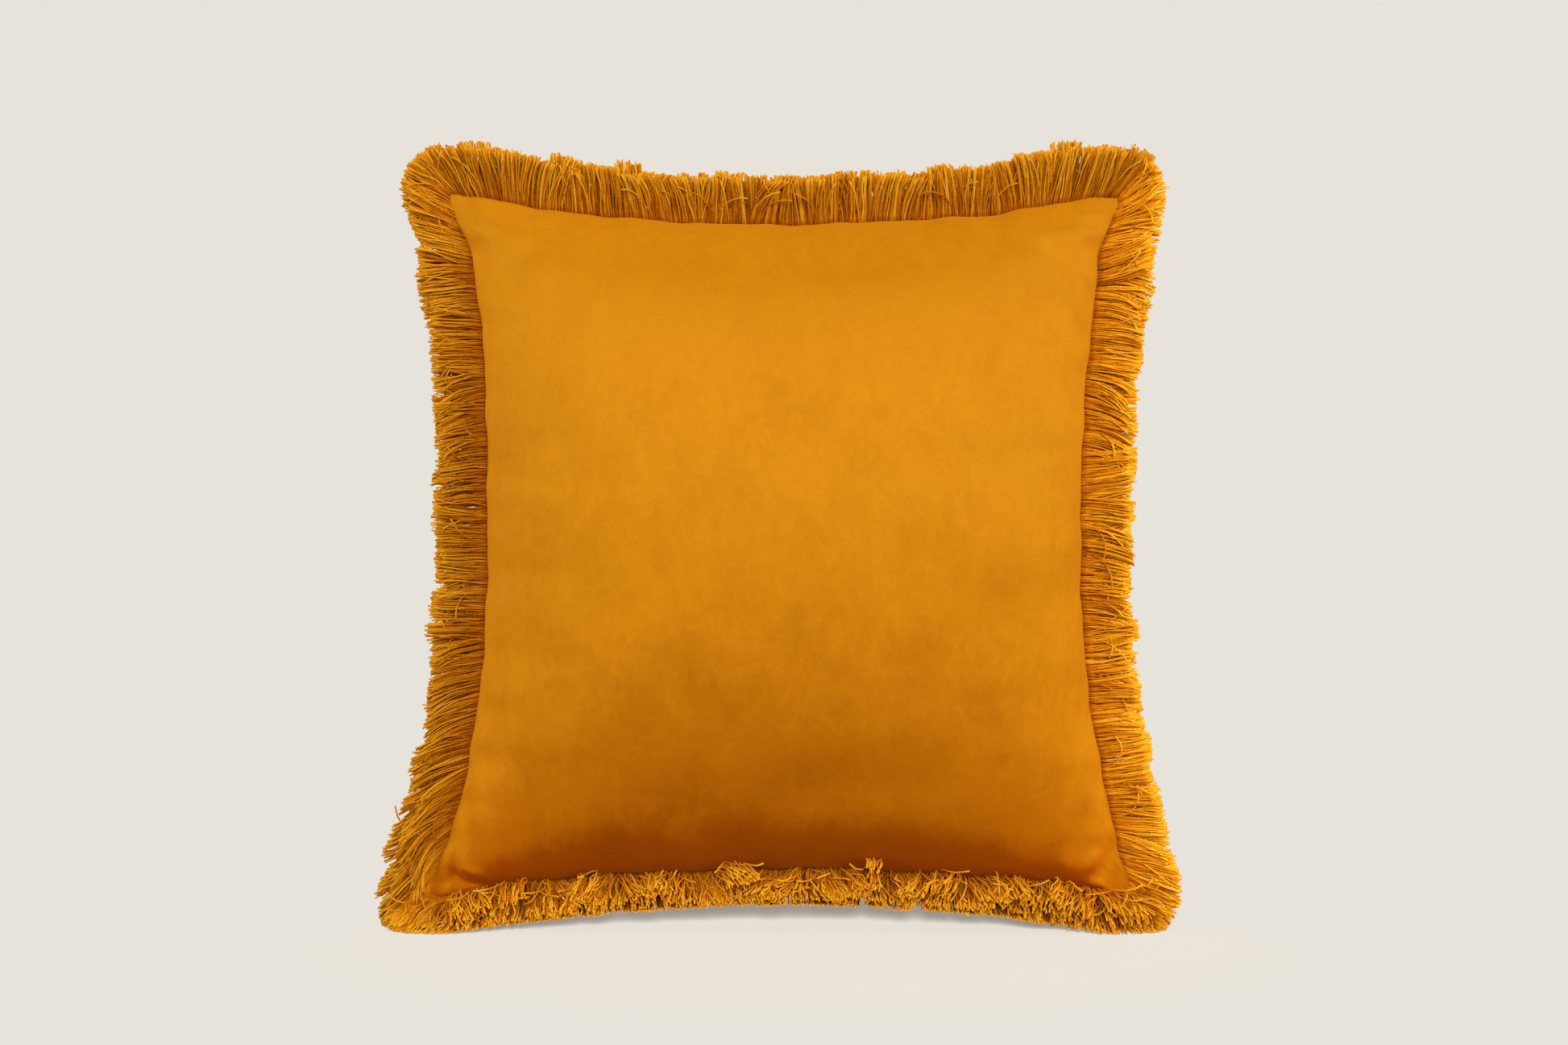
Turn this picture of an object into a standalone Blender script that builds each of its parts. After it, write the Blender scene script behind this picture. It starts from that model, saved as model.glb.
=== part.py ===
"""Throw pillow: a square velvet cover with a brush fringe, a zip across the back and a padded insert.

The pillow stands on its bottom edge. +X is to the right, +Y to the back and +Z up. The origin is on
the floor under the middle of the pillow. All sizes are in metres.
"""

import math

import bmesh
import bpy
from mathutils import Vector

MM = 0.001

# The seam, which joins the front and back of the cover, lies in the plane y = 0.
TOP_HALF_WIDTH = 206.5 * MM
BOTTOM_HALF_WIDTH = 214.5 * MM
TOP_CORNER_HEIGHT = 457.0 * MM
BOTTOM_CORNER_HEIGHT = 27.0 * MM
SIDE_PULL_IN = 26.5 * MM
TOP_PULL_IN = 19.0 * MM
BOTTOM_PULL_IN = 15.0 * MM
EDGE_POWER = 2.1
UPPER_SIDE_POWER = 3.6
SEAM_MIDDLE = (TOP_CORNER_HEIGHT + BOTTOM_CORNER_HEIGHT) / 2

# The crown of the stuffed pillow.
HALF_THICKNESS = 75.0 * MM
CROWN_POWER = 2.2
CROWN_FULLNESS = 0.6
COVER_COLUMNS = 24
COVER_ROWS = 18
INSERT_COLUMNS = 16
INSERT_ROWS = 14

# Velvet cover. Its edges turn in at the seam, one on each side of the fringe heading.
VELVET = 0.8 * MM
SEAM_HALF_THICKNESS = 3.0 * MM
SEAM_TURN = 1.7 * MM
ALLOWANCE_FACE = 0.9 * MM
ALLOWANCE_RINGS = ((1.0, SEAM_TURN), (0.9965, ALLOWANCE_FACE), (0.955, ALLOWANCE_FACE))

# Padded insert, smaller than the cover all round.
CASING = 0.4 * MM
CASING_SCALE = 0.93
CASING_EDGE = 1.0 * MM
CASING_HALF_THICKNESS = HALF_THICKNESS - VELVET - 0.8 * MM
FILLING_SCALE = 0.915
FILLING_EDGE = 0.6 * MM
FILLING_HALF_THICKNESS = CASING_HALF_THICKNESS - CASING - 0.5 * MM

# Brush fringe: a woven heading held in the seam, and a skirt of cut yarn outside it.
HEADING_HALF = 0.5 * MM
HEADING_INNER = 0.957
HEADING_OUTER = 0.9985
FRINGE_GAP = 0.4 * MM
FRINGE_REACH = 35.0 * MM
FRINGE_CORNER_REACH = 40.0 * MM
FRINGE_HALF_BASE = 2.0 * MM
FRINGE_HALF_TIP = 7.0 * MM
FRINGE_END = 0.997
FRINGE_CUTS = 20
FAN_POWER = 9
FOOT_FRONT = 31.0 * MM
FOOT_BACK = 27.0 * MM
FOOT_LIFT = 9.0 * MM
FOOT_INNER_END = 0.80

# Zip: a straight strip across the back, just above the bottom seam.
ZIP_HEIGHT = 66.0 * MM
ZIP_DEPTH = 29.5 * MM
ZIP_SLOPE = math.radians(36.0)
ZIP_FLAT = 10.5 * MM
ZIP_FADE_BELOW = 11.0 * MM
ZIP_FADE_ABOVE = 30.0 * MM
ZIP_HALF_FLAT = 160.0 * MM
ZIP_END_FADE = 34.0 * MM
ZIP_HALF_OPENING = 155.0 * MM
SLOT_HALF_WIDTH = 4.5 * MM
CLOSED_HALF_GAP = 0.5 * MM
LOWER_PANEL_ROWS = (0.0, 0.06, 0.2, 0.42, 0.7, 1.0)
UPPER_PANEL_ROWS = 18
UPPER_PANEL_STARTS = (0.0, 6.8 * MM, 14.0 * MM, 25.0 * MM)

TAPE_TOP = -1.1 * MM
TAPE_UNDER = -1.6 * MM
TAPE_INNER = 1.0 * MM
TAPE_OUTER = 11.0 * MM
TAPE_HALF_LENGTH = 156.0 * MM
COIL_RADIUS = 1.15 * MM
COIL_CENTRE = 1.65 * MM
COIL_LIFT = 0.35 * MM
COIL_SIDES = 10
COIL_HALF_LENGTH = 143.5 * MM
STOP_NEAR = 144.2 * MM
STOP_FAR = 147.0 * MM
STOP_TOP = 1.7 * MM
STOP_BOTTOM = -0.8 * MM
STOP_INNER = 0.4 * MM
STOP_OUTER = 2.9 * MM

SLIDER_REST = 135.0 * MM
SLIDER_HALF_LENGTH = 5.6 * MM
SLIDER_HALF_WIDTH = 3.95 * MM
SLIDER_CHANNEL = 3.2 * MM
SLIDER_POST = 0.25 * MM
SLIDER_TOP = 2.8 * MM
SLIDER_ROOF = 1.8 * MM
SLIDER_SKIRT = -0.6 * MM
SLIDER_FLOOR = -1.9 * MM
SLIDER_UNDER = -2.8 * MM
PIVOT_LIFT = 5.4 * MM
BAIL_BAR = 0.55 * MM
BAIL_INNER = 1.5 * MM
BAIL_OUTER = 2.3 * MM
BAIL_HALF_LENGTH = 1.3 * MM
BAIL_TOP = 6.4 * MM
PULL_BORE = 0.85 * MM
PULL_EYE = 1.6 * MM
PULL_EYE_HALF_WIDTH = 1.2 * MM
PULL_HALF_THICKNESS = 0.5 * MM
PULL_TAB_START = 6.0 * MM
PULL_LENGTH = 25.0 * MM
PULL_HALF_WIDTH = 2.9 * MM
PULL_ROUNDING = 1.0 * MM
ROUND_SIDES = 20

# Care label, sewn to the side seam inside the cover.
LABEL_LEFT = -0.985
LABEL_RIGHT = -0.83
LABEL_LOW = -0.42
LABEL_HIGH = -0.26
LABEL_THICKNESS = 0.3 * MM
LABEL_INSIDE = 1.6 * MM
LABEL_STEPS = 6

COLOURS = {
    "velvet": ((0.62, 0.25, 0.012), 0.75, 0.0),
    "yarn": ((0.60, 0.27, 0.02), 0.9, 0.0),
    "webbing": ((0.55, 0.24, 0.02), 0.85, 0.0),
    "casing": ((0.86, 0.85, 0.82), 0.9, 0.0),
    "fibre": ((0.92, 0.92, 0.90), 1.0, 0.0),
    "zip_tape": ((0.50, 0.21, 0.015), 0.8, 0.0),
    "zip_coil": ((0.52, 0.23, 0.02), 0.4, 0.0),
    "zip_metal": ((0.62, 0.55, 0.42), 0.35, 1.0),
    "label": ((0.90, 0.89, 0.86), 0.6, 0.0),
}


def mix(a, b, share):
    return a + (b - a) * share


def smooth(share):
    """Eases from 0 to 1."""
    share = min(max(share, 0.0), 1.0)
    return share * share * (3 - 2 * share)


# The seam outline and the crowned surface ---------------------------------------------------------


def half_width(v):
    """Half the width between the side seams, at v from -1 at the bottom to 1 at the top."""
    chord = mix(BOTTOM_HALF_WIDTH, TOP_HALF_WIDTH, (v + 1) / 2)
    power = UPPER_SIDE_POWER if v > 0 else EDGE_POWER
    return chord - SIDE_PULL_IN * (1 - abs(v) ** power)


def seam_top(u):
    return TOP_CORNER_HEIGHT - TOP_PULL_IN * (1 - abs(u) ** EDGE_POWER)


def seam_bottom(u):
    return BOTTOM_CORNER_HEIGHT + BOTTOM_PULL_IN * (1 - abs(u) ** EDGE_POWER)


def on_face(u, v, scale=1.0):
    """(x, z) at u across and v up, in an outline scaled about the middle of the seam."""
    z = mix(seam_bottom(u), seam_top(u), (v + 1) / 2)
    return scale * u * half_width(v), SEAM_MIDDLE + scale * (z - SEAM_MIDDLE)


def crown(u, v):
    """Share of the full thickness, 1 in the middle and 0 along the seam."""
    across = max(0.0, 1 - abs(u) ** CROWN_POWER)
    up = max(0.0, 1 - abs(v) ** CROWN_POWER)
    return (across * up) ** CROWN_FULLNESS


def front_depth(u, v):
    """Distance of the cover's outer face in front of the seam plane."""
    return mix(SEAM_HALF_THICKNESS, HALF_THICKNESS, crown(u, v))


def back_depth(u, v):
    """Distance of the cover's outer face behind the seam plane. The zip holds a strip of it flat."""
    x, z = on_face(u, v)
    rise = z - ZIP_HEIGHT
    fade = ZIP_FADE_ABOVE if rise > 0 else ZIP_FADE_BELOW
    held = smooth((ZIP_FLAT + fade - abs(rise)) / fade)
    held *= smooth((ZIP_HALF_FLAT + ZIP_END_FADE - abs(x)) / ZIP_END_FADE)
    strip = ZIP_DEPTH + rise * math.tan(ZIP_SLOPE)
    return mix(front_depth(u, v), strip, held)


def level(u, z):
    """v of the point at height z in column u."""
    return 2 * (z - seam_bottom(u)) / (seam_top(u) - seam_bottom(u)) - 1


def towards_seam(share):
    """Bunches even steps from -1 to 1 towards the seam, where the crown is steepest."""
    return math.sin(share * math.pi / 2)


def slot_edge(u, side):
    """Height of a back panel's edge along the zip. Past the ends of the zip the edges close up."""
    place = abs(on_face(u, level(u, ZIP_HEIGHT))[0])
    opening = SLOT_HALF_WIDTH if place < ZIP_HALF_OPENING else CLOSED_HALF_GAP
    return ZIP_HEIGHT + side * opening * math.cos(ZIP_SLOPE)


def zip_point(x, up, out):
    """A point beside the zip: up rises along the cover and out leaves its outer face."""
    y = ZIP_DEPTH + up * math.sin(ZIP_SLOPE) + out * math.cos(ZIP_SLOPE)
    z = ZIP_HEIGHT + up * math.cos(ZIP_SLOPE) - out * math.sin(ZIP_SLOPE)
    return Vector((x, y, z))


# Making objects -----------------------------------------------------------------------------------


def clear_scene():
    for thing in list(bpy.data.objects):
        bpy.data.objects.remove(thing, do_unlink=True)
    for group in list(bpy.data.collections):
        bpy.data.collections.remove(group)


def make_collection(name):
    group = bpy.data.collections.new(name)
    bpy.context.scene.collection.children.link(group)
    return group


def make_material(node_name, kind):
    colour, roughness, metallic = COLOURS[kind]
    material = bpy.data.materials.new(f"{node_name}_{kind}")
    material.use_nodes = True
    shader = material.node_tree.nodes["Principled BSDF"]
    shader.inputs["Base Color"].default_value = (*colour, 1.0)
    shader.inputs["Roughness"].default_value = roughness
    shader.inputs["Metallic"].default_value = metallic
    material.diffuse_color = (*colour, 1.0)
    return material


def make_object(name, mesh, kind, group, origin=Vector()):
    """Wraps a bmesh as a named object with its own material and its origin at the given point."""
    bmesh.ops.recalc_face_normals(mesh, faces=mesh.faces)
    bmesh.ops.translate(mesh, verts=mesh.verts, vec=-origin)
    data = bpy.data.meshes.new(name)
    mesh.to_mesh(data)
    mesh.free()
    thing = bpy.data.objects.new(name, data)
    thing.location = origin
    data.materials.append(make_material(name, kind))
    group.objects.link(thing)
    return thing


def add_loft(mesh, rings, joined=False):
    """Skins rings of points. The ends are capped unless the last ring joins the first."""
    loops = [[mesh.verts.new(point) for point in ring] for ring in rings]
    followers = loops[1:] + ([loops[0]] if joined else [])
    for loop, following in zip(loops, followers):
        for index in range(len(loop)):
            after = (index + 1) % len(loop)
            mesh.faces.new((loop[index], loop[after], following[after], following[index]))
    if not joined:
        mesh.faces.new(loops[0])
        mesh.faces.new(loops[-1])


def loft(name, rings, kind, group, joined=False, origin=Vector()):
    mesh = bmesh.new()
    add_loft(mesh, rings, joined)
    return make_object(name, mesh, kind, group, origin)


def zip_block(x_range, up_range, out_range):
    """Two rings of a block that lies square to the zip."""
    corners = [(up, out) for up, out in (
        (up_range[0], out_range[0]),
        (up_range[1], out_range[0]),
        (up_range[1], out_range[1]),
        (up_range[0], out_range[1]),
    )]
    return [[zip_point(x, up, out) for up, out in corners] for x in x_range]


def add_solidify(thing, thickness):
    """Thickens a sheet behind its face."""
    shell = thing.modifiers.new("thickness", "SOLIDIFY")
    shell.thickness = thickness
    shell.offset = -1.0


def add_boolean(thing, tool, operation):
    """Adds a Boolean that uses a hidden tool."""
    tool.hide_render = True
    tool.display_type = "WIRE"
    cut = thing.modifiers.new(operation.lower(), "BOOLEAN")
    cut.operation = operation
    cut.solver = "EXACT"
    cut.object = tool


def sheet(columns, rows, place, outward):
    """A grid of quads. place(column, row) gives each point and outward is the side it faces."""
    mesh = bmesh.new()
    bmesh.ops.create_grid(mesh, x_segments=columns, y_segments=rows, size=1.0)
    for vert in mesh.verts:
        vert.co = place(vert.co.x, vert.co.y)
    mesh.normal_update()
    if sum(face.normal.y for face in mesh.faces) * outward < 0:
        bmesh.ops.reverse_faces(mesh, faces=mesh.faces)
    return mesh


def make_sheet(name, mesh, kind, group, thickness):
    """Turns a sheet into a solid object, thickened behind its face."""
    data = bpy.data.meshes.new(name)
    mesh.to_mesh(data)
    mesh.free()
    thing = bpy.data.objects.new(name, data)
    data.materials.append(make_material(name, kind))
    group.objects.link(thing)
    add_solidify(thing, thickness)
    return thing


# Cover --------------------------------------------------------------------------------------------


def panel(name, columns, rows, level_of, depth_of, side, group):
    """One piece of the cover. level_of(u, row) gives v, and side is -1 in front and 1 behind."""
    mesh = bmesh.new()
    bmesh.ops.create_grid(mesh, x_segments=columns, y_segments=rows, size=1.0)
    on_seam = {}
    for vert in mesh.verts:
        u = towards_seam(vert.co.x)
        row = round((vert.co.y + 1) / 2 * rows)
        v = level_of(u, row)
        x, z = on_face(u, v)
        vert.co = Vector((x, side * depth_of(u, v), z))
        if max(abs(u), abs(v)) > 1 - 1e-6:
            on_seam[vert] = (u, v)
    mesh.normal_update()
    if sum(face.normal.y for face in mesh.faces) * side < 0:
        bmesh.ops.reverse_faces(mesh, faces=mesh.faces)

    ring = [edge for edge in mesh.edges if edge.is_boundary and all(vert in on_seam for vert in edge.verts)]
    for scale, depth in ALLOWANCE_RINGS:
        made = bmesh.ops.extrude_edge_only(mesh, edges=ring)["geom"]
        fresh = [item for item in made if isinstance(item, bmesh.types.BMVert)]
        carried = {}
        for vert in fresh:
            older = next(edge.other_vert(vert) for edge in vert.link_edges if edge.other_vert(vert) in on_seam)
            carried[vert] = on_seam[older]
        for vert, (u, v) in carried.items():
            x, z = on_face(u, v, scale)
            vert.co = Vector((x, side * depth, z))
        ring = [item for item in made if isinstance(item, bmesh.types.BMEdge)]
        on_seam = carried
    return make_sheet(name, mesh, "velvet", group, VELVET)


def make_cover(group):
    def front_level(u, row):
        return towards_seam(2 * row / COVER_ROWS - 1)

    def lower_level(u, row):
        z = mix(seam_bottom(u), slot_edge(u, -1), LOWER_PANEL_ROWS[row])
        return -1.0 if row == 0 else level(u, z)

    def upper_level(u, row):
        last = len(UPPER_PANEL_STARTS) - 1
        start = level(u, slot_edge(u, 1) + UPPER_PANEL_STARTS[min(row, last)])
        share = max(0.0, (row - last) / (UPPER_PANEL_ROWS - last))
        return mix(start, 1.0, math.sin(share * math.pi / 2))

    panel("cover_front_panel", COVER_COLUMNS, COVER_ROWS, front_level, front_depth, -1, group)
    lower_rows = len(LOWER_PANEL_ROWS) - 1
    panel("cover_back_lower_panel", COVER_COLUMNS, lower_rows, lower_level, back_depth, 1, group)
    panel("cover_back_upper_panel", COVER_COLUMNS, UPPER_PANEL_ROWS, upper_level, back_depth, 1, group)


# Insert -------------------------------------------------------------------------------------------


def make_casing(name, side, group):
    def place(column, row):
        u = towards_seam(column)
        v = towards_seam(row)
        x, z = on_face(u, v, CASING_SCALE)
        return Vector((x, side * mix(CASING_EDGE, CASING_HALF_THICKNESS, crown(u, v)), z))

    mesh = sheet(INSERT_COLUMNS, INSERT_ROWS, place, side)
    make_sheet(name, mesh, "casing", group, CASING)


def make_filling(group):
    mesh = bmesh.new()
    for side in (-1, 1):
        before = set(mesh.verts)
        bmesh.ops.create_grid(mesh, x_segments=INSERT_COLUMNS, y_segments=INSERT_ROWS, size=1.0)
        for vert in set(mesh.verts) - before:
            u = towards_seam(vert.co.x)
            v = towards_seam(vert.co.y)
            x, z = on_face(u, v, FILLING_SCALE)
            depth = mix(FILLING_EDGE, FILLING_HALF_THICKNESS, crown(u, v))
            vert.co = Vector((x, side * depth, z))
    rims = [edge for edge in mesh.edges if edge.is_boundary]
    bmesh.ops.bridge_loops(mesh, edges=rims)
    make_object("insert_filling", mesh, "fibre", group)


# Fringe -------------------------------------------------------------------------------------------


def seam_side(side, along):
    """(u, v) at a place from -1 to 1 along one side of the seam."""
    return {
        "top": (along, 1.0),
        "bottom": (along, -1.0),
        "right": (1.0, along),
        "left": (-1.0, along),
    }[side]


def make_heading(group):
    """The woven band that the yarns hang from. It runs all the way round, inside the seam."""
    places = []
    for side, direction in (("bottom", 1), ("right", 1), ("top", -1), ("left", -1)):
        for cut in range(FRINGE_CUTS):
            places.append(seam_side(side, direction * towards_seam(2 * cut / FRINGE_CUTS - 1)))
    rings = []
    for u, v in places:
        inner = on_face(u, v, HEADING_INNER)
        outer = on_face(u, v, HEADING_OUTER)
        rings.append([
            Vector((inner[0], -HEADING_HALF, inner[1])),
            Vector((outer[0], -HEADING_HALF, outer[1])),
            Vector((outer[0], HEADING_HALF, outer[1])),
            Vector((inner[0], HEADING_HALF, inner[1])),
        ])
    loft("fringe_heading", rings, "webbing", group, joined=True)


def fan_direction(u, v, side):
    """The way the yarns point: square to the seam in the middle of a side, slanting at its ends."""
    square = {"top": (0, 1), "bottom": (0, -1), "right": (1, 0), "left": (-1, 0)}[side]
    along = u if side in ("top", "bottom") else v
    slant = math.copysign(abs(along) ** FAN_POWER, along)
    across = (slant, 0) if side in ("top", "bottom") else (0, slant)
    length = math.hypot(1.0, slant)
    return (square[0] + across[0]) / length, (square[1] + across[1]) / length


def foot_height(along):
    """Height of the bottom fringe's tips: on the floor near the corners, lifted between them."""
    share = min(1.0, abs(along) / FOOT_INNER_END)
    return FOOT_LIFT * (1 - share ** 2)


def make_fringe(side, group):
    """One length of brush fringe, as a solid wedge from the seam out to the tips of the yarns."""
    rings = []
    for cut in range(FRINGE_CUTS + 1):
        along = FRINGE_END * towards_seam(2 * cut / FRINGE_CUTS - 1)
        u, v = seam_side(side, along)
        x, z = on_face(u, v)
        way = fan_direction(u, v, side)
        reach = mix(FRINGE_REACH, FRINGE_CORNER_REACH, abs(along) ** FAN_POWER)
        base = (x + FRINGE_GAP * way[0], z + FRINGE_GAP * way[1])
        tip = (x + reach * way[0], z + reach * way[1])
        front = FRINGE_HALF_TIP
        back = FRINGE_HALF_TIP
        if side == "bottom":
            tip = (tip[0], foot_height(along))
            front = FOOT_FRONT
            back = FOOT_BACK
        rings.append([
            Vector((base[0], -FRINGE_HALF_BASE, base[1])),
            Vector((tip[0], -front, tip[1])),
            Vector((tip[0], back, tip[1])),
            Vector((base[0], FRINGE_HALF_BASE, base[1])),
        ])
    loft(f"fringe_{side}", rings, "yarn", group)


# Zip ----------------------------------------------------------------------------------------------


def make_zip_band(group):
    for name, side in (("upper", 1), ("lower", -1)):
        ends = (-TAPE_HALF_LENGTH, TAPE_HALF_LENGTH)
        across = (side * TAPE_INNER, side * TAPE_OUTER)
        loft(f"zip_tape_{name}", zip_block(ends, across, (TAPE_UNDER, TAPE_TOP)), "zip_tape", group)

        circle = [2 * math.pi * index / COIL_SIDES for index in range(COIL_SIDES)]
        rings = [[
            zip_point(x, side * COIL_CENTRE + COIL_RADIUS * math.cos(turn), COIL_LIFT + COIL_RADIUS * math.sin(turn))
            for turn in circle
        ] for x in (-COIL_HALF_LENGTH, COIL_HALF_LENGTH)]
        loft(f"zip_coil_{name}", rings, "zip_coil", group)

        across = (side * STOP_INNER, side * STOP_OUTER)
        rings = zip_block((STOP_NEAR, STOP_FAR), across, (STOP_BOTTOM, STOP_TOP))
        loft(f"zip_top_stop_{name}", rings, "zip_metal", group)
    across = (-STOP_OUTER, STOP_OUTER)
    rings = zip_block((-STOP_FAR, -STOP_NEAR), across, (STOP_BOTTOM, STOP_TOP))
    loft("zip_bottom_stop", rings, "zip_metal", group)


def zip_rod(radius, half_width, lift):
    """Two rings of a round rod that lies across the zip at the slider."""
    circle = [2 * math.pi * index / ROUND_SIDES for index in range(ROUND_SIDES)]
    return [[
        zip_point(SLIDER_REST + radius * math.cos(turn), up, lift + radius * math.sin(turn))
        for turn in circle
    ] for up in (-half_width, half_width)]


def make_slider(group, tools):
    """Two plates joined by a thin post that runs between the coils, with a bail for the pull."""
    outline = [
        (SLIDER_HALF_WIDTH, SLIDER_TOP),
        (SLIDER_HALF_WIDTH, SLIDER_SKIRT),
        (SLIDER_CHANNEL, SLIDER_SKIRT),
        (SLIDER_CHANNEL, SLIDER_ROOF),
        (SLIDER_POST, SLIDER_ROOF),
        (SLIDER_POST, SLIDER_FLOOR),
        (SLIDER_HALF_WIDTH, SLIDER_FLOOR),
        (SLIDER_HALF_WIDTH, SLIDER_UNDER),
    ]
    outline += [(-up, out) for up, out in reversed(outline)]
    ends = (SLIDER_REST - SLIDER_HALF_LENGTH, SLIDER_REST + SLIDER_HALF_LENGTH)
    origin = zip_point(SLIDER_REST, 0, 0)
    rings = [[zip_point(x, up, out) for up, out in outline] for x in ends]
    slider = loft("zip_slider", rings, "zip_metal", group, origin=origin)

    reach = (SLIDER_REST - BAIL_HALF_LENGTH, SLIDER_REST + BAIL_HALF_LENGTH)
    lift = (mix(SLIDER_ROOF, SLIDER_TOP, 0.5), BAIL_TOP)
    for side in (-1, 1):
        rings = zip_block(reach, (side * BAIL_INNER, side * BAIL_OUTER), lift)
        cheek = loft(f"tool_cheek_{side}", rings, "zip_metal", tools)
        add_boolean(slider, cheek, "UNION")
    middle = mix(BAIL_INNER, BAIL_OUTER, 0.5)
    bar = loft("tool_bar", zip_rod(BAIL_BAR, middle, PIVOT_LIFT), "zip_metal", tools)
    add_boolean(slider, bar, "UNION")


def make_pull(group, tools):
    """A tab with an eye round the slider's bail. At rest it lies along the zip."""
    origin = zip_point(SLIDER_REST, 0, PIVOT_LIFT)
    eye = zip_rod(PULL_EYE, PULL_EYE_HALF_WIDTH, PIVOT_LIFT)
    pull = loft("zip_pull", eye, "zip_metal", group, origin=origin)

    thickness = (PIVOT_LIFT - PULL_HALF_THICKNESS, PIVOT_LIFT + PULL_HALF_THICKNESS)
    neck = (SLIDER_REST - PULL_TAB_START - PULL_ROUNDING, SLIDER_REST)
    rings = zip_block(neck, (-PULL_EYE_HALF_WIDTH, PULL_EYE_HALF_WIDTH), thickness)
    add_boolean(pull, loft("tool_neck", rings, "zip_metal", tools), "UNION")

    end = SLIDER_REST - PULL_LENGTH
    start = SLIDER_REST - PULL_TAB_START
    outline = [
        (start, -PULL_HALF_WIDTH + PULL_ROUNDING),
        (start - PULL_ROUNDING, -PULL_HALF_WIDTH),
        (end + PULL_ROUNDING, -PULL_HALF_WIDTH),
        (end, -PULL_HALF_WIDTH + PULL_ROUNDING),
    ]
    outline += [(x, -up) for x, up in reversed(outline)]
    rings = [[zip_point(x, up, out) for x, up in outline] for out in thickness]
    add_boolean(pull, loft("tool_tab", rings, "zip_metal", tools), "UNION")

    bore = loft("tool_bore", zip_rod(PULL_BORE, BAIL_OUTER, PIVOT_LIFT), "zip_metal", tools)
    add_boolean(pull, bore, "DIFFERENCE")


# Label --------------------------------------------------------------------------------------------


def make_label(group):
    """A small flat label inside the cover, following the back panel."""
    def place(column, row):
        u = mix(LABEL_LEFT, LABEL_RIGHT, (column + 1) / 2)
        v = mix(LABEL_LOW, LABEL_HIGH, (row + 1) / 2)
        x, z = on_face(u, v, 1 - LABEL_INSIDE / half_width(v))
        return Vector((x, back_depth(u, v) - LABEL_INSIDE, z))

    mesh = sheet(LABEL_STEPS, LABEL_STEPS, place, 1)
    make_sheet("care_label", mesh, "label", group, LABEL_THICKNESS)


def main():
    clear_scene()
    pillow = make_collection("throw_pillow")
    tools = make_collection("tools")
    make_cover(pillow)
    make_casing("insert_casing_front", -1, pillow)
    make_casing("insert_casing_back", 1, pillow)
    make_filling(pillow)
    make_heading(pillow)
    for side in ("top", "right", "bottom", "left"):
        make_fringe(side, pillow)
    make_zip_band(pillow)
    make_slider(pillow, tools)
    make_pull(pillow, tools)
    make_label(pillow)


main()
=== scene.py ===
"""Looks of the throw pillow: velvet cover, cut-yarn fringe, zip, insert and a plain studio."""

import math

import bmesh
import bpy
import numpy as np
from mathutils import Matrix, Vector


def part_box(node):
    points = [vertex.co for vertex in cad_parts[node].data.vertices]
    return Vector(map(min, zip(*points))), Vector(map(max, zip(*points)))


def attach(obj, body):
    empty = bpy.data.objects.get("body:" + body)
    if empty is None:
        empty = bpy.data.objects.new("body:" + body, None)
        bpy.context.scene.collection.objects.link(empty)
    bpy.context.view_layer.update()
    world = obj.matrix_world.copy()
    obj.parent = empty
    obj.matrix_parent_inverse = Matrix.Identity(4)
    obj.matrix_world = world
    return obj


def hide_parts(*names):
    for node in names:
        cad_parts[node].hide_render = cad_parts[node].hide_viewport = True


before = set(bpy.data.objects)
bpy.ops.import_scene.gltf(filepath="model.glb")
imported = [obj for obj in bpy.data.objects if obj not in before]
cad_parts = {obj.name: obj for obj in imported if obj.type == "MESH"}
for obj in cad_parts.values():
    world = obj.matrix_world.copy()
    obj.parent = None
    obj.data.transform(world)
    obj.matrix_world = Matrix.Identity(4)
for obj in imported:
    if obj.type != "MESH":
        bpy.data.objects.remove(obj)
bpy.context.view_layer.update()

MM = 0.001
# Lengths under these count as nothing: one keeps a division safe, the other joins points.
TINY = 1e-9
SAME_POINT = 1e-6
# The directions across a tube are found from this one, which no tube follows exactly.
ASIDE = (0.31, 1.0, 0.0)
SEED = 20417
FILLING_SEED = 61

# Outline of the seam, which lies in the plane y = 0. Its corners come from the CAD cover.
COVER_LOW, COVER_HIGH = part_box("cover_front_panel")
BOTTOM_HALF_WIDTH = COVER_HIGH.x + 4.5 * MM
TOP_HALF_WIDTH = COVER_HIGH.x - 5.5 * MM
MIDDLE_HALF_WIDTH = COVER_HIGH.x - 30.5 * MM
TOP_CORNER_HEIGHT = COVER_HIGH.z + 0.8 * MM
BOTTOM_CORNER_HEIGHT = COVER_LOW.z - 7.0 * MM
SEAM_MIDDLE = (TOP_CORNER_HEIGHT + BOTTOM_CORNER_HEIGHT) / 2
SEAM_HALF_HEIGHT = (TOP_CORNER_HEIGHT - BOTTOM_CORNER_HEIGHT) / 2
TOP_PULL_IN = 20.5 * MM
BOTTOM_PULL_IN = 17.5 * MM
EDGE_POWER = 2.15
UPPER_SIDE_POWER = 4.3
# The seam's corners are pulled in by CORNER_PULL, less and less away from the corner.
CORNER_ROUNDING = 12.0 * MM
CORNER_PULL = 3.0 * MM
CORNER_DEPTH = 30.0 * MM
# How fast a stray of the seam fades towards the middle of the face.
SIDE_STRAY_FADE = 4
LEVEL_STRAY_FADE = 6

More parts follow.
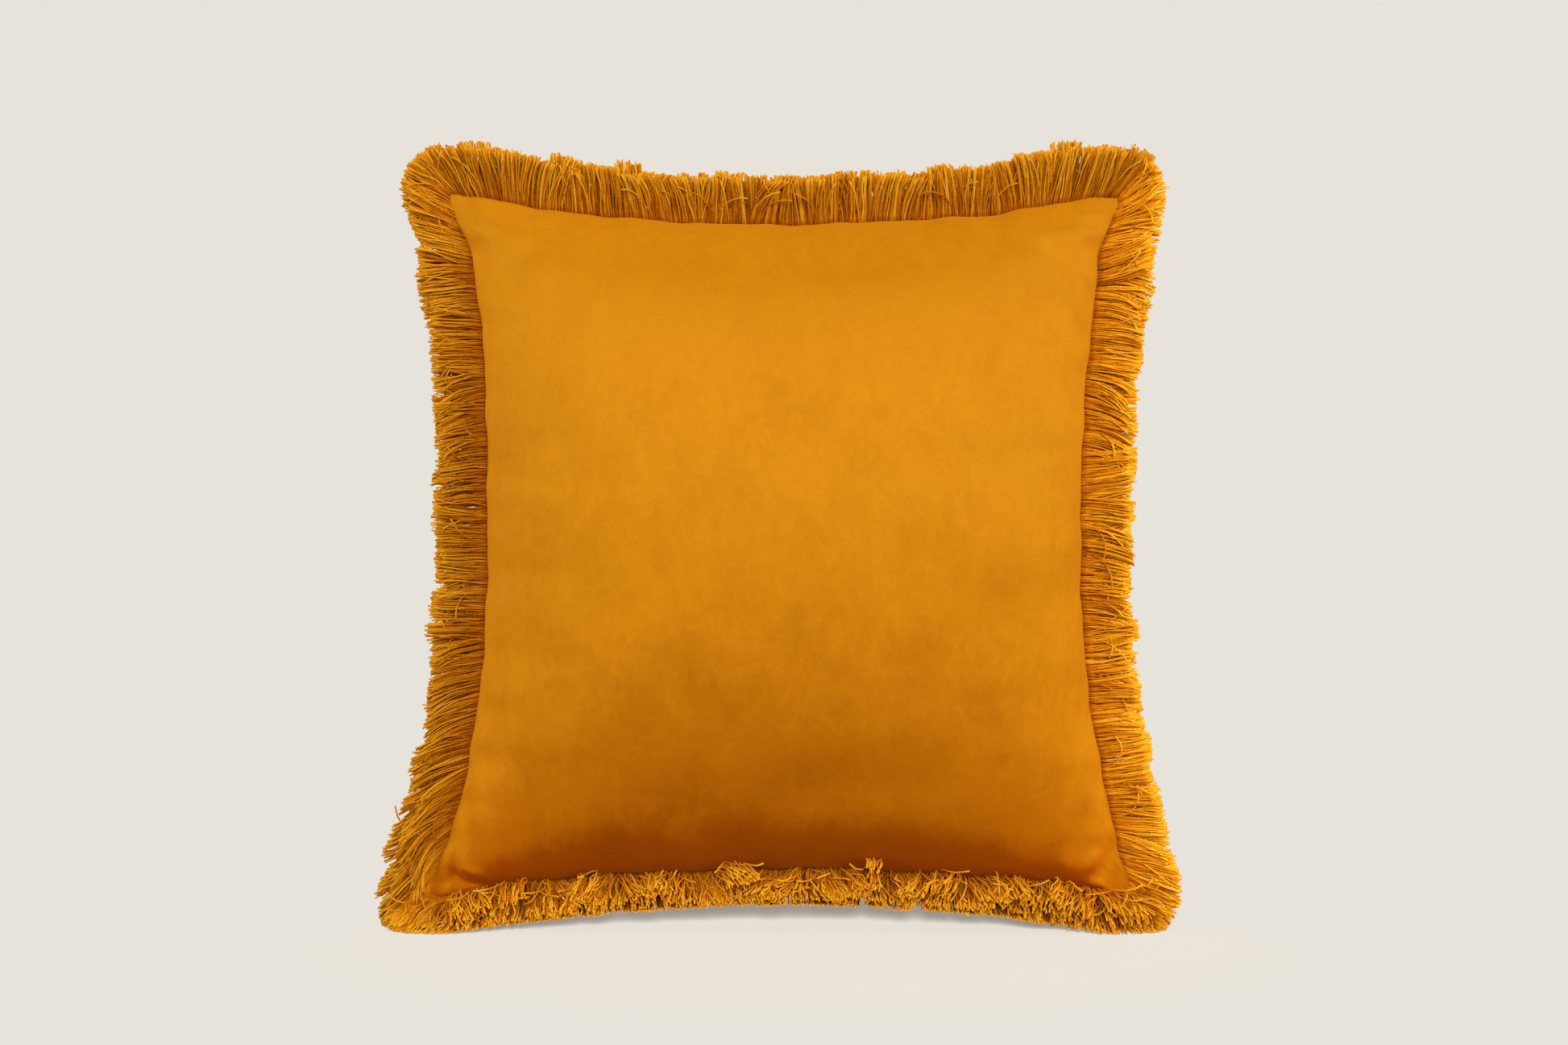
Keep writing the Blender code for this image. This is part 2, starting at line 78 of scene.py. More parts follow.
# Where the seam strays outwards from its even curve: the side (-1 is left or bottom), then the
# place along it, spread and distance in millimetres.
SIDE_STRAYS = (
    (-1, 28, 24, 5.5),
    (-1, 442, 18, 1.4),
    (-1, 415, 14, -1.5),
    (1, 375, 60, 3.0),
    (1, 452, 18, 0.8),
    (1, 424, 12, -2.0),
    (1, 40, 16, -1.5),
)
LEVEL_STRAYS = (
    (-1, -196, 26, 2.5),
    (-1, -70, 30, 1.5),
    (-1, 90, 26, 1.2),
    (1, -172, 16, -1.2),
    (1, -188, 18, 2.0),
    (1, 128, 16, -1.2),
    (1, 60, 22, 0.8),
)
# Small waves all along the seam: pitch and size in millimetres.
SEAM_WAVES = ((23, 0.35), (41, 0.45), (67, 0.4))

# The crown of the stuffed pillow.
HALF_THICKNESS = -COVER_LOW.y
CROWN_POWER_ACROSS = 3.0
CROWN_POWER_UP = 2.2
CROWN_FULLNESS = 0.57
SEAM_HALF_GAP = 1.3 * MM
CELL_COLUMNS = 96
CELL_ROWS = 92
CLOTH_THICKNESS = 0.8 * MM

# The seam allowance that is turned in: scale about the middle, and distance from the seam plane.
TURNED_IN = ((0.9985, 0.7 * MM), (0.975, 0.6 * MM))

# How the cover is let swell.
CLOTH_FRAMES = 22
CLOTH_PRESSURE = 4.0
CLOTH_SPARE = 1.03
CLOTH_CAP = 9.0 * MM
CLOTH_STIFFNESS = 14.0
CLOTH_BENDING = 0.35
CLOTH_MASS = 0.12
CLOTH_QUALITY = 6
CLOTH_AIR_DAMPING = 4.0
CLOTH_HELD_BY_ZIP = 0.97

# Gathers along the seam: how many to a side, their half width, reach from the seam, depth, and how
# far from the seam they start.
GATHERS = 30
GATHER_WIDTH = (2.5 * MM, 6.5 * MM)
GATHER_REACH = (7.0 * MM, 30.0 * MM)
GATHER_DEPTH = (0.7 * MM, 3.0 * MM)
GATHER_START = 2.0 * MM

# The share of its depth that the cover may dip by, so that it stays in front of its seam.
DIP_SHARE = 0.85
DIP_LEAST_ROOM = 0.01 * MM

# Slow unevenness of the stuffing, under the cover and of the filling itself.
LUMP_WAVES = 14
LUMP_PITCH = (45.0 * MM, 120.0 * MM)
COVER_LUMPS = 1.0 * MM
LUMPS_FADE = 0.03

# The raised lip beside a fold: its share of the depth, and how far over it lies in half widths.
LIP_SHARE = 0.55
LIP_PLACE = 1.7

# Folds and dimples of the front: middle x and z, half length, half width, turn in degrees, depth,
# all in millimetres. A negative depth is a ridge.
FOLDS = (
    (-204, 37, 10, 2.6, -64, 5.0),
    (-198, 31, 13, 3.0, -22, 4.0),
    (-197, 66, 26, 5, -82, 2.2),
    (-178, 118, 30, 9, 78, 1.8),
    (198, 40, 13, 4, 52, 4.0),
    (180, 62, 20, 6, 66, 2.4),
    (184, 342, 20, 4, -50, 2.4),
    (185, 368, 22, 4, -54, 3.0),
    (186, 396, 18, 4, -58, 2.4),
    (-176, 330, 28, 7, 62, 1.4),
    (-160, 418, 26, 7, 40, 1.6),
    (146, 428, 26, 6, -30, 1.4),
    (30, 92, 70, 16, 4, 1.2),
    (-60, 250, 60, 26, 70, 0.9),
    (90, 210, 60, 24, -60, 0.9),
)

# Zip, where the CAD has it: a straight strip across the back.
ZIP_SLOPE = math.radians(36.0)
ZIP_DEPTH = 29.5 * MM
ZIP_HEIGHT = 66.0 * MM
ZIP_FLAT = 10.5 * MM
ZIP_FADE_BELOW = 11.0 * MM
ZIP_FADE_ABOVE = 30.0 * MM
ZIP_HALF_FLAT = 160.0 * MM
ZIP_END_FADE = 34.0 * MM
ZIP_HALF_OPENING = 150.0 * MM
ZIP_OPENING_FADE = 6.0 * MM
SLOT_HALF_WIDTH = 4.6 * MM
CLOSED_HALF_GAP = 0.35 * MM
ZIP_ROWS_BELOW = 12
ZIP_ROWS_NEAR = 8
ZIP_NEAR_REACH = 12.0 * MM
COIL_HALF_LENGTH = 143.0 * MM
COIL_PITCH = 1.35 * MM
COIL_WIRE = 0.30 * MM
COIL_RADIUS = 0.84 * MM
COIL_CENTRE = 1.65 * MM
COIL_LIFT = 0.35 * MM
COIL_STEPS = 12
COIL_SIDES = 5
CAST_SMOOTHING = {"factor": 0.5, "iterations": 5}
CAST_VOXELS = {"stop": 0.16 * MM, "slider": 0.17 * MM, "pull": 0.17 * MM}
STITCH_LENGTH = 2.9 * MM
STITCH_PITCH = 3.5 * MM
STITCH_RADIUS = 0.22 * MM
STITCH_PLACE = 7.4 * MM
STITCH_HALF_ROW = 152.0 * MM
STITCH_POINTS = 6
STITCH_SIDES = 6
# A stitch stands STITCH_LIFT over the cloth in its middle and dives in at its ends, in millimetres.
STITCH_LIFT = 0.30
STITCH_DIVE = 0.75

# Insert, inside the cover, and the blank label.
CASING_SCALE = 0.93
CASING_DEPTH = 0.955
CASING_THICKNESS = 0.4 * MM
CASING_HALF_SEAM = 0.8 * MM
CASING_ZIP_ROOM = 7.0 * MM
FILLING_ZIP_ROOM = 8.5 * MM
CASING_PUCKER = 0.012
CASING_PUCKERS = 9
FILLING_SCALE = 0.913
FILLING_DEPTH = 0.925
FILLING_LUMPS = 1.6 * MM
FILLING_HALF_SEAM = 0.3 * MM
INSERT_CELLS = 48
LABEL_U = (-0.975, -0.835)
LABEL_V = (-0.42, -0.26)
LABEL_INSIDE = 2.2 * MM
LABEL_THICKNESS = 0.3 * MM
LABEL_CELLS = (14, 12)
LABEL_RIPPLE = 0.5 * MM
LABEL_RIPPLES = 60

# Fringe. A yarn is a tube with few sides; the bottom has more yarns, crushed by the weight on them.
# Reaches are along the yarn. A clump is neighbouring yarns that lie together, and a tuft is a few
# clumps.
YARN_RADIUS = 0.49 * MM
YARN_RADIUS_SPREAD = 0.06
YARN_TAPER = (0.9, 1.12)
YARN_SIDES = 4
YARN_STEPS = 8
YARN_TURN = 2.6 * MM
# How many steps at a yarn's root may be a tone deeper as painted shade, and at its cut end a tone
# lighter as painted light.
SHADED_ROOT_STEPS = 5
LIT_TIP_STEPS = (1, 4)
MIDDLE_TONE = 2
TONE_SPREAD = 0.7
YARNS_PER_METRE = 10000
BOTTOM_YARNS_PER_METRE = 17000
FRINGE_LAYERS = 4
BOTTOM_LAYERS = 6
FRINGE_REACH = 32.5 * MM
TOP_FRINGE_REACH = 30.5 * MM
TOP_CORNER_REACH = 36.0 * MM
FOOT_CORNER_REACH = {"left": 43.0 * MM, "bottom": 43.0 * MM, "right": 38.5 * MM}
CORNER_REACH_POWER = 2.5
CORNER_TRIM = 0.18
CORNER_TRIM_POWER = 16
CORNER_CROWDING = 1.22
CLUMP_WIDTH = 11.0 * MM
TUFT_WIDTH = 34.0 * MM
CLUMP_WIDTHS = (0.4, 1.8)
CLUMP_TAILS = 2.5
CLUMP_MOST_LEAN = 4
SIDE_HALF_LENGTH = 215.0 * MM
FLOOR_CLEARANCE = 1.3 * MM
BOTTOM_LIFT = 16.0 * MM
FOOT_SPREAD = 0.7
# The share by which a bottom yarn that would reach under the floor is lifted back.
FOOT_GIVE = 0.94
SEAM_END = 0.9995
ROOT_HALF_SPAN = 1.5 * MM
ROOT_INSIDE = 1.0 * MM
FLOOR_SPREAD = 1.0 * MM
BOTTOM_LIFT_SPAN = 0.9
DROOP_LENGTH = 0.13
# How far each side hangs down towards the foot. The right one is pushed up a little there.
DROOP = {"left": 1.0, "right": -0.6}

# Angles of the yarns, in radians. FAN turns them round the corners: pairs of an angle and how
# sharply it comes in.
FAN = ((0.70, 9), (0.07, 3))
STRAIGHT_POWER = 9
# Top and side yarns. Shares are of the clump's and tuft's lean, and noise is each yarn's own.
CLUMP_LEAN = {"top": 0.11, "side": 0.07}
TUFT_LEAN = {"top": 0.15, "side": 0.22}
CORNER_LEAN = 0.55
SIDE_GATHER = (0.22, 0.10)
SIDE_SHARES = {"root": 0.30, "tip": 1.30, "gather": 1.2}
SIDE_NOISE = {"root": 0.025, "tip": 0.045, "clump": 0.10}
DROOP_START = 1.25
DROOP_ANGLES = {"root": 0.25, "tip": 0.72, "all": 0.20}
SIDE_STRAY = {"share": 0.03, "turn": 0.9, "front": 0.7}
SIDE_OUT = {"root": 0.34, "tip": 0.10, "clump": 0.08, "yarn": 0.05}
SIDE_LENGTH = {"clump": 0.045, "yarn": 0.022}
# Bottom yarns. OUTERMOST says how far out, from 0 to 1, the loose outer yarns begin, and over how
# much more they come in fully.
OUTERMOST = (0.55, 0.3)
BOTTOM_LEAN = (0.15, 0.50)
BOTTOM_GATHER = (0.15, 0.10)
BOTTOM_SHARES = {"root": 0.4, "tip": 1.2}
BOTTOM_NOISE = {"root": 0.05, "tip": 0.07}
BOTTOM_STRAY = {"share": 0.01, "outer": 0.10, "turn": 1.2}
CORNER_SQUASH = 0.72
BOTTOM_RISE = {"inner": 0.05, "outer": 1.55, "power": 0.8, "clump": 0.34}
BOTTOM_BOW = {"inner": 1.42, "outer": 0.85, "clump": 0.10, "yarn": 0.07}
LOOPS_FROM = 0.6
LOOP_ROOT = (-0.2, 0.25)
LOOP_TIP = (-0.6, 0.6)
BOTTOM_LENGTH = 0.02
# How a yarn bends from its root to its tip, and its small waves.
BEND_POWER = 1.3
BOTTOM_OUT_POWER = 1.5
WAVY = 0.09
FRONT_WAVY = {"more": 0.30, "from": 0.2, "over": 0.6}
WAVES_IN = 8.0
WAVES_OUT = 9.0
WAVE_SHIFT = 3
# How much a turn out of the seam's plane shortens the one along it, and the other way round.
OUT_ON_LEAN = 0.5
LEAN_ON_OUT = 0.6
FLOOR_BEND_POWER = 1.2
HEADING_INNER = 0.957
HEADING_STANDS = 8.0 * MM
HEADING_HALF = 0.55 * MM
HEADING_CUTS = 60
HEADING_BEVEL = 0.25 * MM

# Camera and studio.
CAMERA_DISTANCE = 2.4
CAMERA_ELEVATION = math.radians(3.0)
PHOTO_WIDTH = 0.973
SENSOR = 36.0
CAMERA_SEES_TO = 50.0
AIM_HEIGHT = 0.2530
BACKDROP = (0.799, 0.767, 0.701)
FLOOR_COLOUR = (0.344, 0.336, 0.312)
FLOOR_GLOW = 0.33
FLOOR_SPAN = 60.0
WORLD_LIGHT = 0.16
WORLD_TINT = (1.0, 0.97, 0.92)
# Elevation, azimuth, strength, softness. Azimuth 0 is the camera's side and 90 the right.
FLOOR_SUN = (14, 0, 17.9, 9)
UNDER_SUN = (-28, 40, 1.5, 60)
RIGHT_SUN = (14, 34, 2.4, 50)
SUNS = {
    "key": (24, 4, 1.45, 34),
    "left_fill": (20, -66, 1.92, 40),
    "right_fill": (20, 66, 2.35, 40),
    "back_fill": (38, 196, 2.5, 50),
}


def mix(a, b, share):
    return a + (b - a) * share


def smooth(share):
    share = np.clip(share, 0.0, 1.0)
    return share * share * (3 - 2 * share)


# Shape of the cover -------------------------------------------------------------------------------


def half_width(v):
    """Half the width between the side seams, at v from -1 at the bottom to 1 at the top."""
    upper = mix(MIDDLE_HALF_WIDTH, TOP_HALF_WIDTH, np.abs(v) ** UPPER_SIDE_POWER)
    lower = mix(MIDDLE_HALF_WIDTH, BOTTOM_HALF_WIDTH, np.abs(v) ** EDGE_POWER)
    return np.where(v > 0, upper, lower)


def seam_top(u):
    return TOP_CORNER_HEIGHT - TOP_PULL_IN * (1 - np.abs(u) ** EDGE_POWER)


def seam_bottom(u):
    return BOTTOM_CORNER_HEIGHT + BOTTOM_PULL_IN * (1 - np.abs(u) ** EDGE_POWER)


def stray(strays, side, place):
    """How far the seam strays outwards on the side that each point is nearest."""
    total = 0.0
    for pitch, size in SEAM_WAVES:
        total = total + size * np.sin(place / (pitch * MM) * 2 * math.pi + side * pitch)
    for on, middle, spread, out in strays:
        total = total + (side == on) * out * np.exp(-((place - middle * MM) / (spread * MM)) ** 2)
    return total * MM


def on_face(u, v):
    """(x, z) at u across and v up the seam's outline, whose corners are rounded off."""
    x = u * half_width(v)
    z = mix(seam_bottom(u), seam_top(u), (v + 1) / 2)
    across, up = np.sign(u), np.sign(v)
    side_stray = stray(SIDE_STRAYS, across, SEAM_MIDDLE + v * SEAM_HALF_HEIGHT)
    level_stray = stray(LEVEL_STRAYS, up, u * BOTTOM_HALF_WIDTH)
    x = x + across * u ** SIDE_STRAY_FADE * side_stray
    z = z + up * v ** LEVEL_STRAY_FADE * level_stray
    from_side = (1 - np.abs(u)) * TOP_HALF_WIDTH
    from_level = (1 - np.abs(v)) * SEAM_HALF_HEIGHT
    pull = CORNER_PULL * np.clip(1 - np.abs(from_side - from_level) / CORNER_ROUNDING, 0, 1) ** 2
    pull = pull * np.clip(1 - np.minimum(from_side, from_level) / CORNER_DEPTH, 0, 1) ** 2
    return x - across * pull, z - up * pull


def level(u, z):
    """v of the point at height z in column u."""
    return 2 * (z - seam_bottom(u)) / (seam_top(u) - seam_bottom(u)) - 1


def front_depth(u, v):
    across = np.clip(1 - np.abs(u) ** CROWN_POWER_ACROSS, 0, 1)
    up = np.clip(1 - np.abs(v) ** CROWN_POWER_UP, 0, 1)
    return SEAM_HALF_GAP + (HALF_THICKNESS - SEAM_HALF_GAP) * (across * up) ** CROWN_FULLNESS


def zip_hold(x, z):
    """1 on the strip that the zip holds flat, fading to 0 around it."""
    rise = z - ZIP_HEIGHT
    fade = np.where(rise > 0, ZIP_FADE_ABOVE, ZIP_FADE_BELOW)
    held = smooth((ZIP_FLAT + fade - np.abs(rise)) / fade)
    return held * smooth((ZIP_HALF_FLAT + ZIP_END_FADE - np.abs(x)) / ZIP_END_FADE)


def back_depth(u, v):
    x, z = on_face(u, v)
    strip = ZIP_DEPTH + (z - ZIP_HEIGHT) * math.tan(ZIP_SLOPE)
    return mix(front_depth(u, v), strip, zip_hold(x, z))


def towards_seam(share):
    """Spaces points from -1 to 1 ever closer towards the seam."""
    return np.sin(share * math.pi / 2)


def slot_rise(u):
    """How far, in height, a back panel's edge stands from the middle of the zip."""
    x = np.abs(on_face(u, level(u, ZIP_HEIGHT))[0])
    closed = smooth((x - ZIP_HALF_OPENING) / ZIP_OPENING_FADE)
    return mix(SLOT_HALF_WIDTH, CLOSED_HALF_GAP, closed) * math.cos(ZIP_SLOPE)


def zip_point(x, up, out):
    """Points beside the zip: up rises along the cover and out leaves its outer face."""
    x, up, out = np.broadcast_arrays(x, up, out)
    y = ZIP_DEPTH + up * math.sin(ZIP_SLOPE) + out * math.cos(ZIP_SLOPE)
    z = ZIP_HEIGHT + up * math.cos(ZIP_SLOPE) - out * math.sin(ZIP_SLOPE)
    return np.stack([x, y, z], -1)


# Making meshes ------------------------------------------------------------------------------------


def link(thing):
    bpy.context.scene.collection.objects.link(thing)
    return thing


def mesh_object(name, points, faces, material):
    data = bpy.data.meshes.new(name)
    faces = faces.tolist() if isinstance(faces, np.ndarray) else faces
    data.from_pydata(np.asarray(points).reshape(-1, 3).tolist(), [], faces)
    if material:
        data.materials.append(material)
    data.polygons.foreach_set("use_smooth", [True] * len(data.polygons))
    data.update()
    return link(bpy.data.objects.new(name, data))


def grid_faces(rows, columns, start=0):
    """Quads of a grid of rows x columns points, stored row by row."""
    r, c = np.meshgrid(np.arange(rows - 1), np.arange(columns - 1), indexing="ij")
    a = start + r * columns + c
    return np.stack([a, a + 1, a + columns + 1, a + columns], -1).reshape(-1, 4)


def add_modifier(thing, kind, **settings):
    modifier = thing.modifiers.new(kind.lower(), kind)
    for key, value in settings.items():
        setattr(modifier, key, value)


def apply_modifiers(thing):
    """Replaces the object's mesh by what its modifiers make of it."""
    depsgraph = bpy.context.evaluated_depsgraph_get()
    done = bpy.data.meshes.new_from_object(thing.evaluated_get(depsgraph))
    thing.modifiers.clear()
    thing.data = done
    done.polygons.foreach_set("use_smooth", [True] * len(done.polygons))


def finish_piece(thing, body, slot, *nodes):
    """Attaches the piece to what it rides on and hides the CAD nodes that it stands for. The slot is
    not used.
    """
    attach(thing, body)
    if nodes:
        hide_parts(*nodes)
    return thing


def frames_along(paths):
    """Two directions across each path at each of its points."""
    tangent = np.gradient(paths, axis=1)
    tangent /= np.linalg.norm(tangent, axis=2, keepdims=True)
    across = np.cross(tangent, np.array(ASIDE))
    across /= np.linalg.norm(across, axis=2, keepdims=True)
    return across, np.cross(tangent, across)


def tubes(paths, radius, sides, start=0.0):
    """Tubes along paths (tube, step, xyz). Returns points (tube, point, xyz), and one tube's quads
    with the step and the side at each of their corners."""
    count, steps, _ = paths.shape
    across, other = frames_along(paths)
    angle = start + np.arange(sides) * 2 * math.pi / sides
    angle = np.broadcast_to(angle, (count, steps, sides))
    ring = across[:, :, None] * np.cos(angle)[..., None] + other[:, :, None] * np.sin(angle)[..., None]
    points = paths[:, :, None] + ring * np.broadcast_to(radius, (count, steps))[..., None, None]
    step, side = np.meshgrid(np.arange(steps - 1), np.arange(sides), indexing="ij")
    step_of = np.stack([step, step, step + 1, step + 1], -1).reshape(-1, 4)
    side_of = np.stack([side, side + 1, side + 1, side], -1).reshape(-1, 4)
    quads = step_of * sides + side_of % sides
    return points.reshape(count, steps * sides, 3), quads, step_of, side_of


def tube_object(name, paths, radius, sides, material):
    """A mesh of capped tubes."""
    points, quads, _, _ = tubes(paths, radius, sides)
    count, size, _ = points.shape
    base = np.arange(count)[:, None, None] * size
    faces = (quads[None] + base).reshape(-1, 4).tolist()
    ends = [list(range(sides))[::-1], list(range(size - sides, size))]
    faces += [[corner + first for corner in end] for first in base.ravel().tolist() for end in ends]
    return mesh_object(name, points, faces, material)


# Materials ----------------------------------------------------------------------------------------


class Nodes:
    """A short way to wire a material."""

    def __init__(self, name):
        self.material = bpy.data.materials.new(name)
        self.material.use_nodes = True
        self.tree = self.material.node_tree
        self.shader = self.tree.nodes["Principled BSDF"]

    def add(self, kind, inputs=None, **settings):
        node = self.tree.nodes.new(kind)
        for key, value in settings.items():
            setattr(node, key, value)
        for key, value in (inputs or {}).items():
            self.put(node.inputs[key], value)
        return node

    def put(self, socket, value):
        if isinstance(value, bpy.types.NodeSocket):
            self.tree.links.new(value, socket)
        else:
            socket.default_value = value

    def set(self, **values):
        for key, value in values.items():
            self.put(self.shader.inputs[key.replace("_", " ")], value)

    def place(self, scale):
        """Coordinates of the surface at rest, stretched by scale."""
        source = self.add("ShaderNodeTexCoord").outputs["Object"]
        return self.add("ShaderNodeMapping", {"Vector": source, "Scale": scale}).outputs["Vector"]

    def noise(self, scale, detail=3.0, roughness=0.55, distortion=0.0):
        inputs = {
            "Vector": self.place(scale),
            "Scale": 1.0,
            "Detail": detail,
            "Roughness": roughness,
            "Distortion": distortion,
        }
        return self.add("ShaderNodeTexNoise", inputs).outputs["Fac"]

    def math(self, operation, a, b=0.0):
        node = self.add("ShaderNodeMath", operation=operation)
        self.put(node.inputs[0], a)
        self.put(node.inputs[1], b)
        return node.outputs[0]

    def weigh(self, *parts):
        """Sum of (factor, weight) pairs."""
        total = 0.0
        for factor, weight in parts:
            total = self.math("ADD", self.math("MULTIPLY", factor, weight), total)
        return total

    def ramp(self, factor, stops):
        """Colours along a factor: stops are (place, colour)."""
        node = self.add("ShaderNodeValToRGB", {"Fac": factor})
        while len(node.color_ramp.elements) < len(stops):
            node.color_ramp.elements.new(0.5)
        for element, (place, colour) in zip(node.color_ramp.elements, stops):
            element.position = place
            element.color = (*colour, 1.0)
        return node.outputs["Color"]

    def multiply(self, factor, a, b):
        node = self.add("ShaderNodeMix", data_type="RGBA", blend_type="MULTIPLY")
        sockets = [socket for socket in node.inputs if socket.enabled]
        for socket, value in zip(sockets, (factor, a, b)):
            self.put(socket, value)
        return next(socket for socket in node.outputs if socket.enabled)

    def bump(self, height, strength, distance, below=None):
        inputs = {"Height": height, "Strength": strength, "Distance": distance}
        if below:
            inputs["Normal"] = below
        return self.add("ShaderNodeBump", inputs).outputs["Normal"]


# Velvet's colour, with painted shade: deeper towards the foot and wherever the cloth faces down, and
# deeper again near the top, where it turns upwards. Level cloth half way up is in the middle of the
# range.
PAINTED_SHADE_HEIGHTS = (0.03, 0.46)
PAINTED_SHADE_LEVEL = 0.49
PAINTED_SHADE_FACING = 0.95
PAINTED_FACING_SHARE = 0.5
# How strongly the crush marks shift the colour, shade it and lower the roughness.
CRUSH_SHIFT = 0.25
CRUSH_SHADE = 0.45
CRUSH_GLOSS = 0.5
GRAIN_SHADE = 0.26
# Lit and shaded tones of the one velvet colour, along the painted shade: deeper at both ends, lightest
# just past the middle.
VELVET_SHADED_COLOURS = (
    (0.00, (0.480, 0.096, 0.0006)),
    (0.10, (0.590, 0.154, 0.0010)),
    (0.24, (0.590, 0.176, 0.0022)),
    (0.42, (0.670, 0.238, 0.0045)),
    (0.58, (0.705, 0.262, 0.0068)),
    (0.72, (0.700, 0.260, 0.0068)),
    (0.82, (0.640, 0.238, 0.0060)),
    (0.93, (0.560, 0.200, 0.0030)),
)


def velvet_material(name):
    """Short-pile velvet: soft crush marks where the pile lies another way, over a fine grain."""
    n = Nodes(name)
    clouds = n.noise((8, 8, 8), 4.0, 0.6, 0.4)
    rubs = n.noise((34, 34, 26), 4.0, 0.6, 0.9)
    flecks = n.noise((190, 190, 130), 3.0, 0.65, 0.6)
    crush = n.weigh((clouds, 0.40), (rubs, 0.32), (flecks, 0.28))
    # Painted shade: the place on the ramp follows the height and the way the cloth faces, as the
    # studio light falls.
    height = n.add("ShaderNodeSeparateXYZ", {"Vector": n.place((1, 1, 1))}).outputs["Z"]
    low, high = PAINTED_SHADE_HEIGHTS
    rise = n.math("DIVIDE", n.math("SUBTRACT", height, low), high - low)
    normal = n.add("ShaderNodeTexCoord").outputs["Normal"]
    tilt = n.add("ShaderNodeSeparateXYZ", {"Vector": normal}).outputs["Z"]
    facing = n.math("ADD", n.math("MULTIPLY", tilt, PAINTED_SHADE_FACING), PAINTED_SHADE_LEVEL)
    lie = n.weigh((rise, 1 - PAINTED_FACING_SHARE), (facing, PAINTED_FACING_SHARE))
    lie = n.math("ADD", lie, n.math("MULTIPLY", n.math("SUBTRACT", crush, 0.5), CRUSH_SHIFT))
    colour = n.ramp(lie, VELVET_SHADED_COLOURS)
    grain = n.noise((900, 900, 900), 2.0, 0.7)
    grain_tone = n.ramp(grain, [(0.3, (0.60,) * 3), (0.7, (1.0,) * 3)])
    colour = n.multiply(GRAIN_SHADE, colour, grain_tone)
    shade = n.ramp(crush, [(0.38, (0.72, 0.64, 0.6)), (0.58, (1.0, 1.0, 1.0))])
    colour = n.multiply(CRUSH_SHADE, colour, shade)
    pile = n.bump(grain, 0.30, 0.25 * MM)
    relief = n.bump(crush, 0.20, 2.0 * MM, pile)
    rough = n.math("SUBTRACT", 1.0, n.math("MULTIPLY", crush, CRUSH_GLOSS))
    n.set(Base_Color=colour, Normal=relief, Roughness=rough)
    n.set(Sheen_Weight=0.60, Sheen_Roughness=0.34, Sheen_Tint=(1.0, 0.47, 0.03, 1.0))
    n.set(Specular_IOR_Level=0.02)
    return n.material


# Tones of the yarn, one material each. Each yarn takes a tone at random, and is painted a tone deeper
# near its root as shade between the yarns, and a tone lighter near its cut end as painted light.
YARN_TONES = (
    ("yarn_root", (0.400, 0.086, 0.0008)),
    ("yarn_dark", (0.550, 0.160, 0.0020)),
    ("yarn_mid", (0.670, 0.244, 0.0045)),
    ("yarn_light", (0.770, 0.350, 0.0135)),
)


def yarn_material(name, colour):
    """Soft twisted yarn. The attribute "twist" turns once for each ply that passes."""
    n = Nodes(name)
    twist = n.add("ShaderNodeAttribute", attribute_name="twist").outputs["Fac"]
    plies = n.math("ABSOLUTE", n.math("SINE", twist))
    fuzz = n.noise((2600, 2600, 2600), 2.0, 0.6)
    height = n.weigh((plies, 0.75), (fuzz, 0.35))
    n.set(Base_Color=(*colour, 1.0), Normal=n.bump(height, 0.5, 0.25 * MM), Roughness=0.9)
    n.set(Sheen_Weight=0.30, Sheen_Roughness=0.5, Sheen_Tint=(1.0, 0.36, 0.02, 1.0))
    n.set(Specular_IOR_Level=0.03)
    return n.material


# Woven cloths and tapes: colour, darker colour between the threads, thread width, roughness.
WOVEN = {
    "casing": ((0.86, 0.85, 0.82), (0.70, 0.69, 0.66), 0.50 * MM, 0.85),
    "label": ((0.90, 0.89, 0.86), (0.78, 0.77, 0.74), 0.25 * MM, 0.5),
    "zip_tape": ((0.56, 0.22, 0.014), (0.36, 0.12, 0.006), 0.45 * MM, 0.85),
    "webbing": ((0.56, 0.18, 0.008), (0.34, 0.09, 0.003), 0.90 * MM, 0.85),
}


def woven_material(name):
    """Plain cloth or tape, woven from threads."""
    colour, dark, thread, roughness = WOVEN[name]
    n = Nodes(name)
    place = n.add("ShaderNodeSeparateXYZ", {"Vector": n.place((math.pi / thread,) * 3)})
    warp = n.math("ABSOLUTE", n.math("SINE", place.outputs["X"]))
    weft = n.math("ABSOLUTE", n.math("SINE", place.outputs["Z"]))
    weave = n.math("MULTIPLY", warp, weft)
    shade = n.weigh((weave, 0.6), (n.noise((60, 60, 60)), 0.4))
    n.set(Base_Color=n.ramp(shade, [(0.15, dark), (0.65, colour)]))
    n.set(Normal=n.bump(weave, 0.6, thread * 0.4), Roughness=roughness)
    n.set(Sheen_Weight=0.15, Sheen_Tint=(*colour, 1.0), Specular_IOR_Level=0.08)
    return n.material


def fibre_material(name):
    """Loose white polyester fibre."""
    n = Nodes(name)
    wisps = n.noise((160, 160, 160), 6.0, 0.7, 2.5)
    strands = n.noise((900, 900, 260), 3.0, 0.7, 1.5)
    fluff = n.weigh((wisps, 0.6), (strands, 0.4))
    n.set(Base_Color=n.ramp(fluff, [(0.3, (0.72, 0.72, 0.71)), (0.6, (0.93, 0.93, 0.92))]))
    n.set(Normal=n.bump(fluff, 0.8, 2.0 * MM), Roughness=0.95, Sheen_Weight=0.5)
    return n.material


def metal_material(name):
    """Lacquered antique brass, a little worn."""
    n = Nodes(name)
    wear = n.noise((420, 420, 420), 4.0, 0.65)
    n.set(Base_Color=n.ramp(wear, [(0.35, (0.30, 0.21, 0.10)), (0.62, (0.66, 0.50, 0.27))]))
    scratch = n.noise((300, 2400, 2400), 2.0)
    n.set(Metallic=1.0, Normal=n.bump(scratch, 0.15, 0.05 * MM), Roughness=0.34)
    return n.material


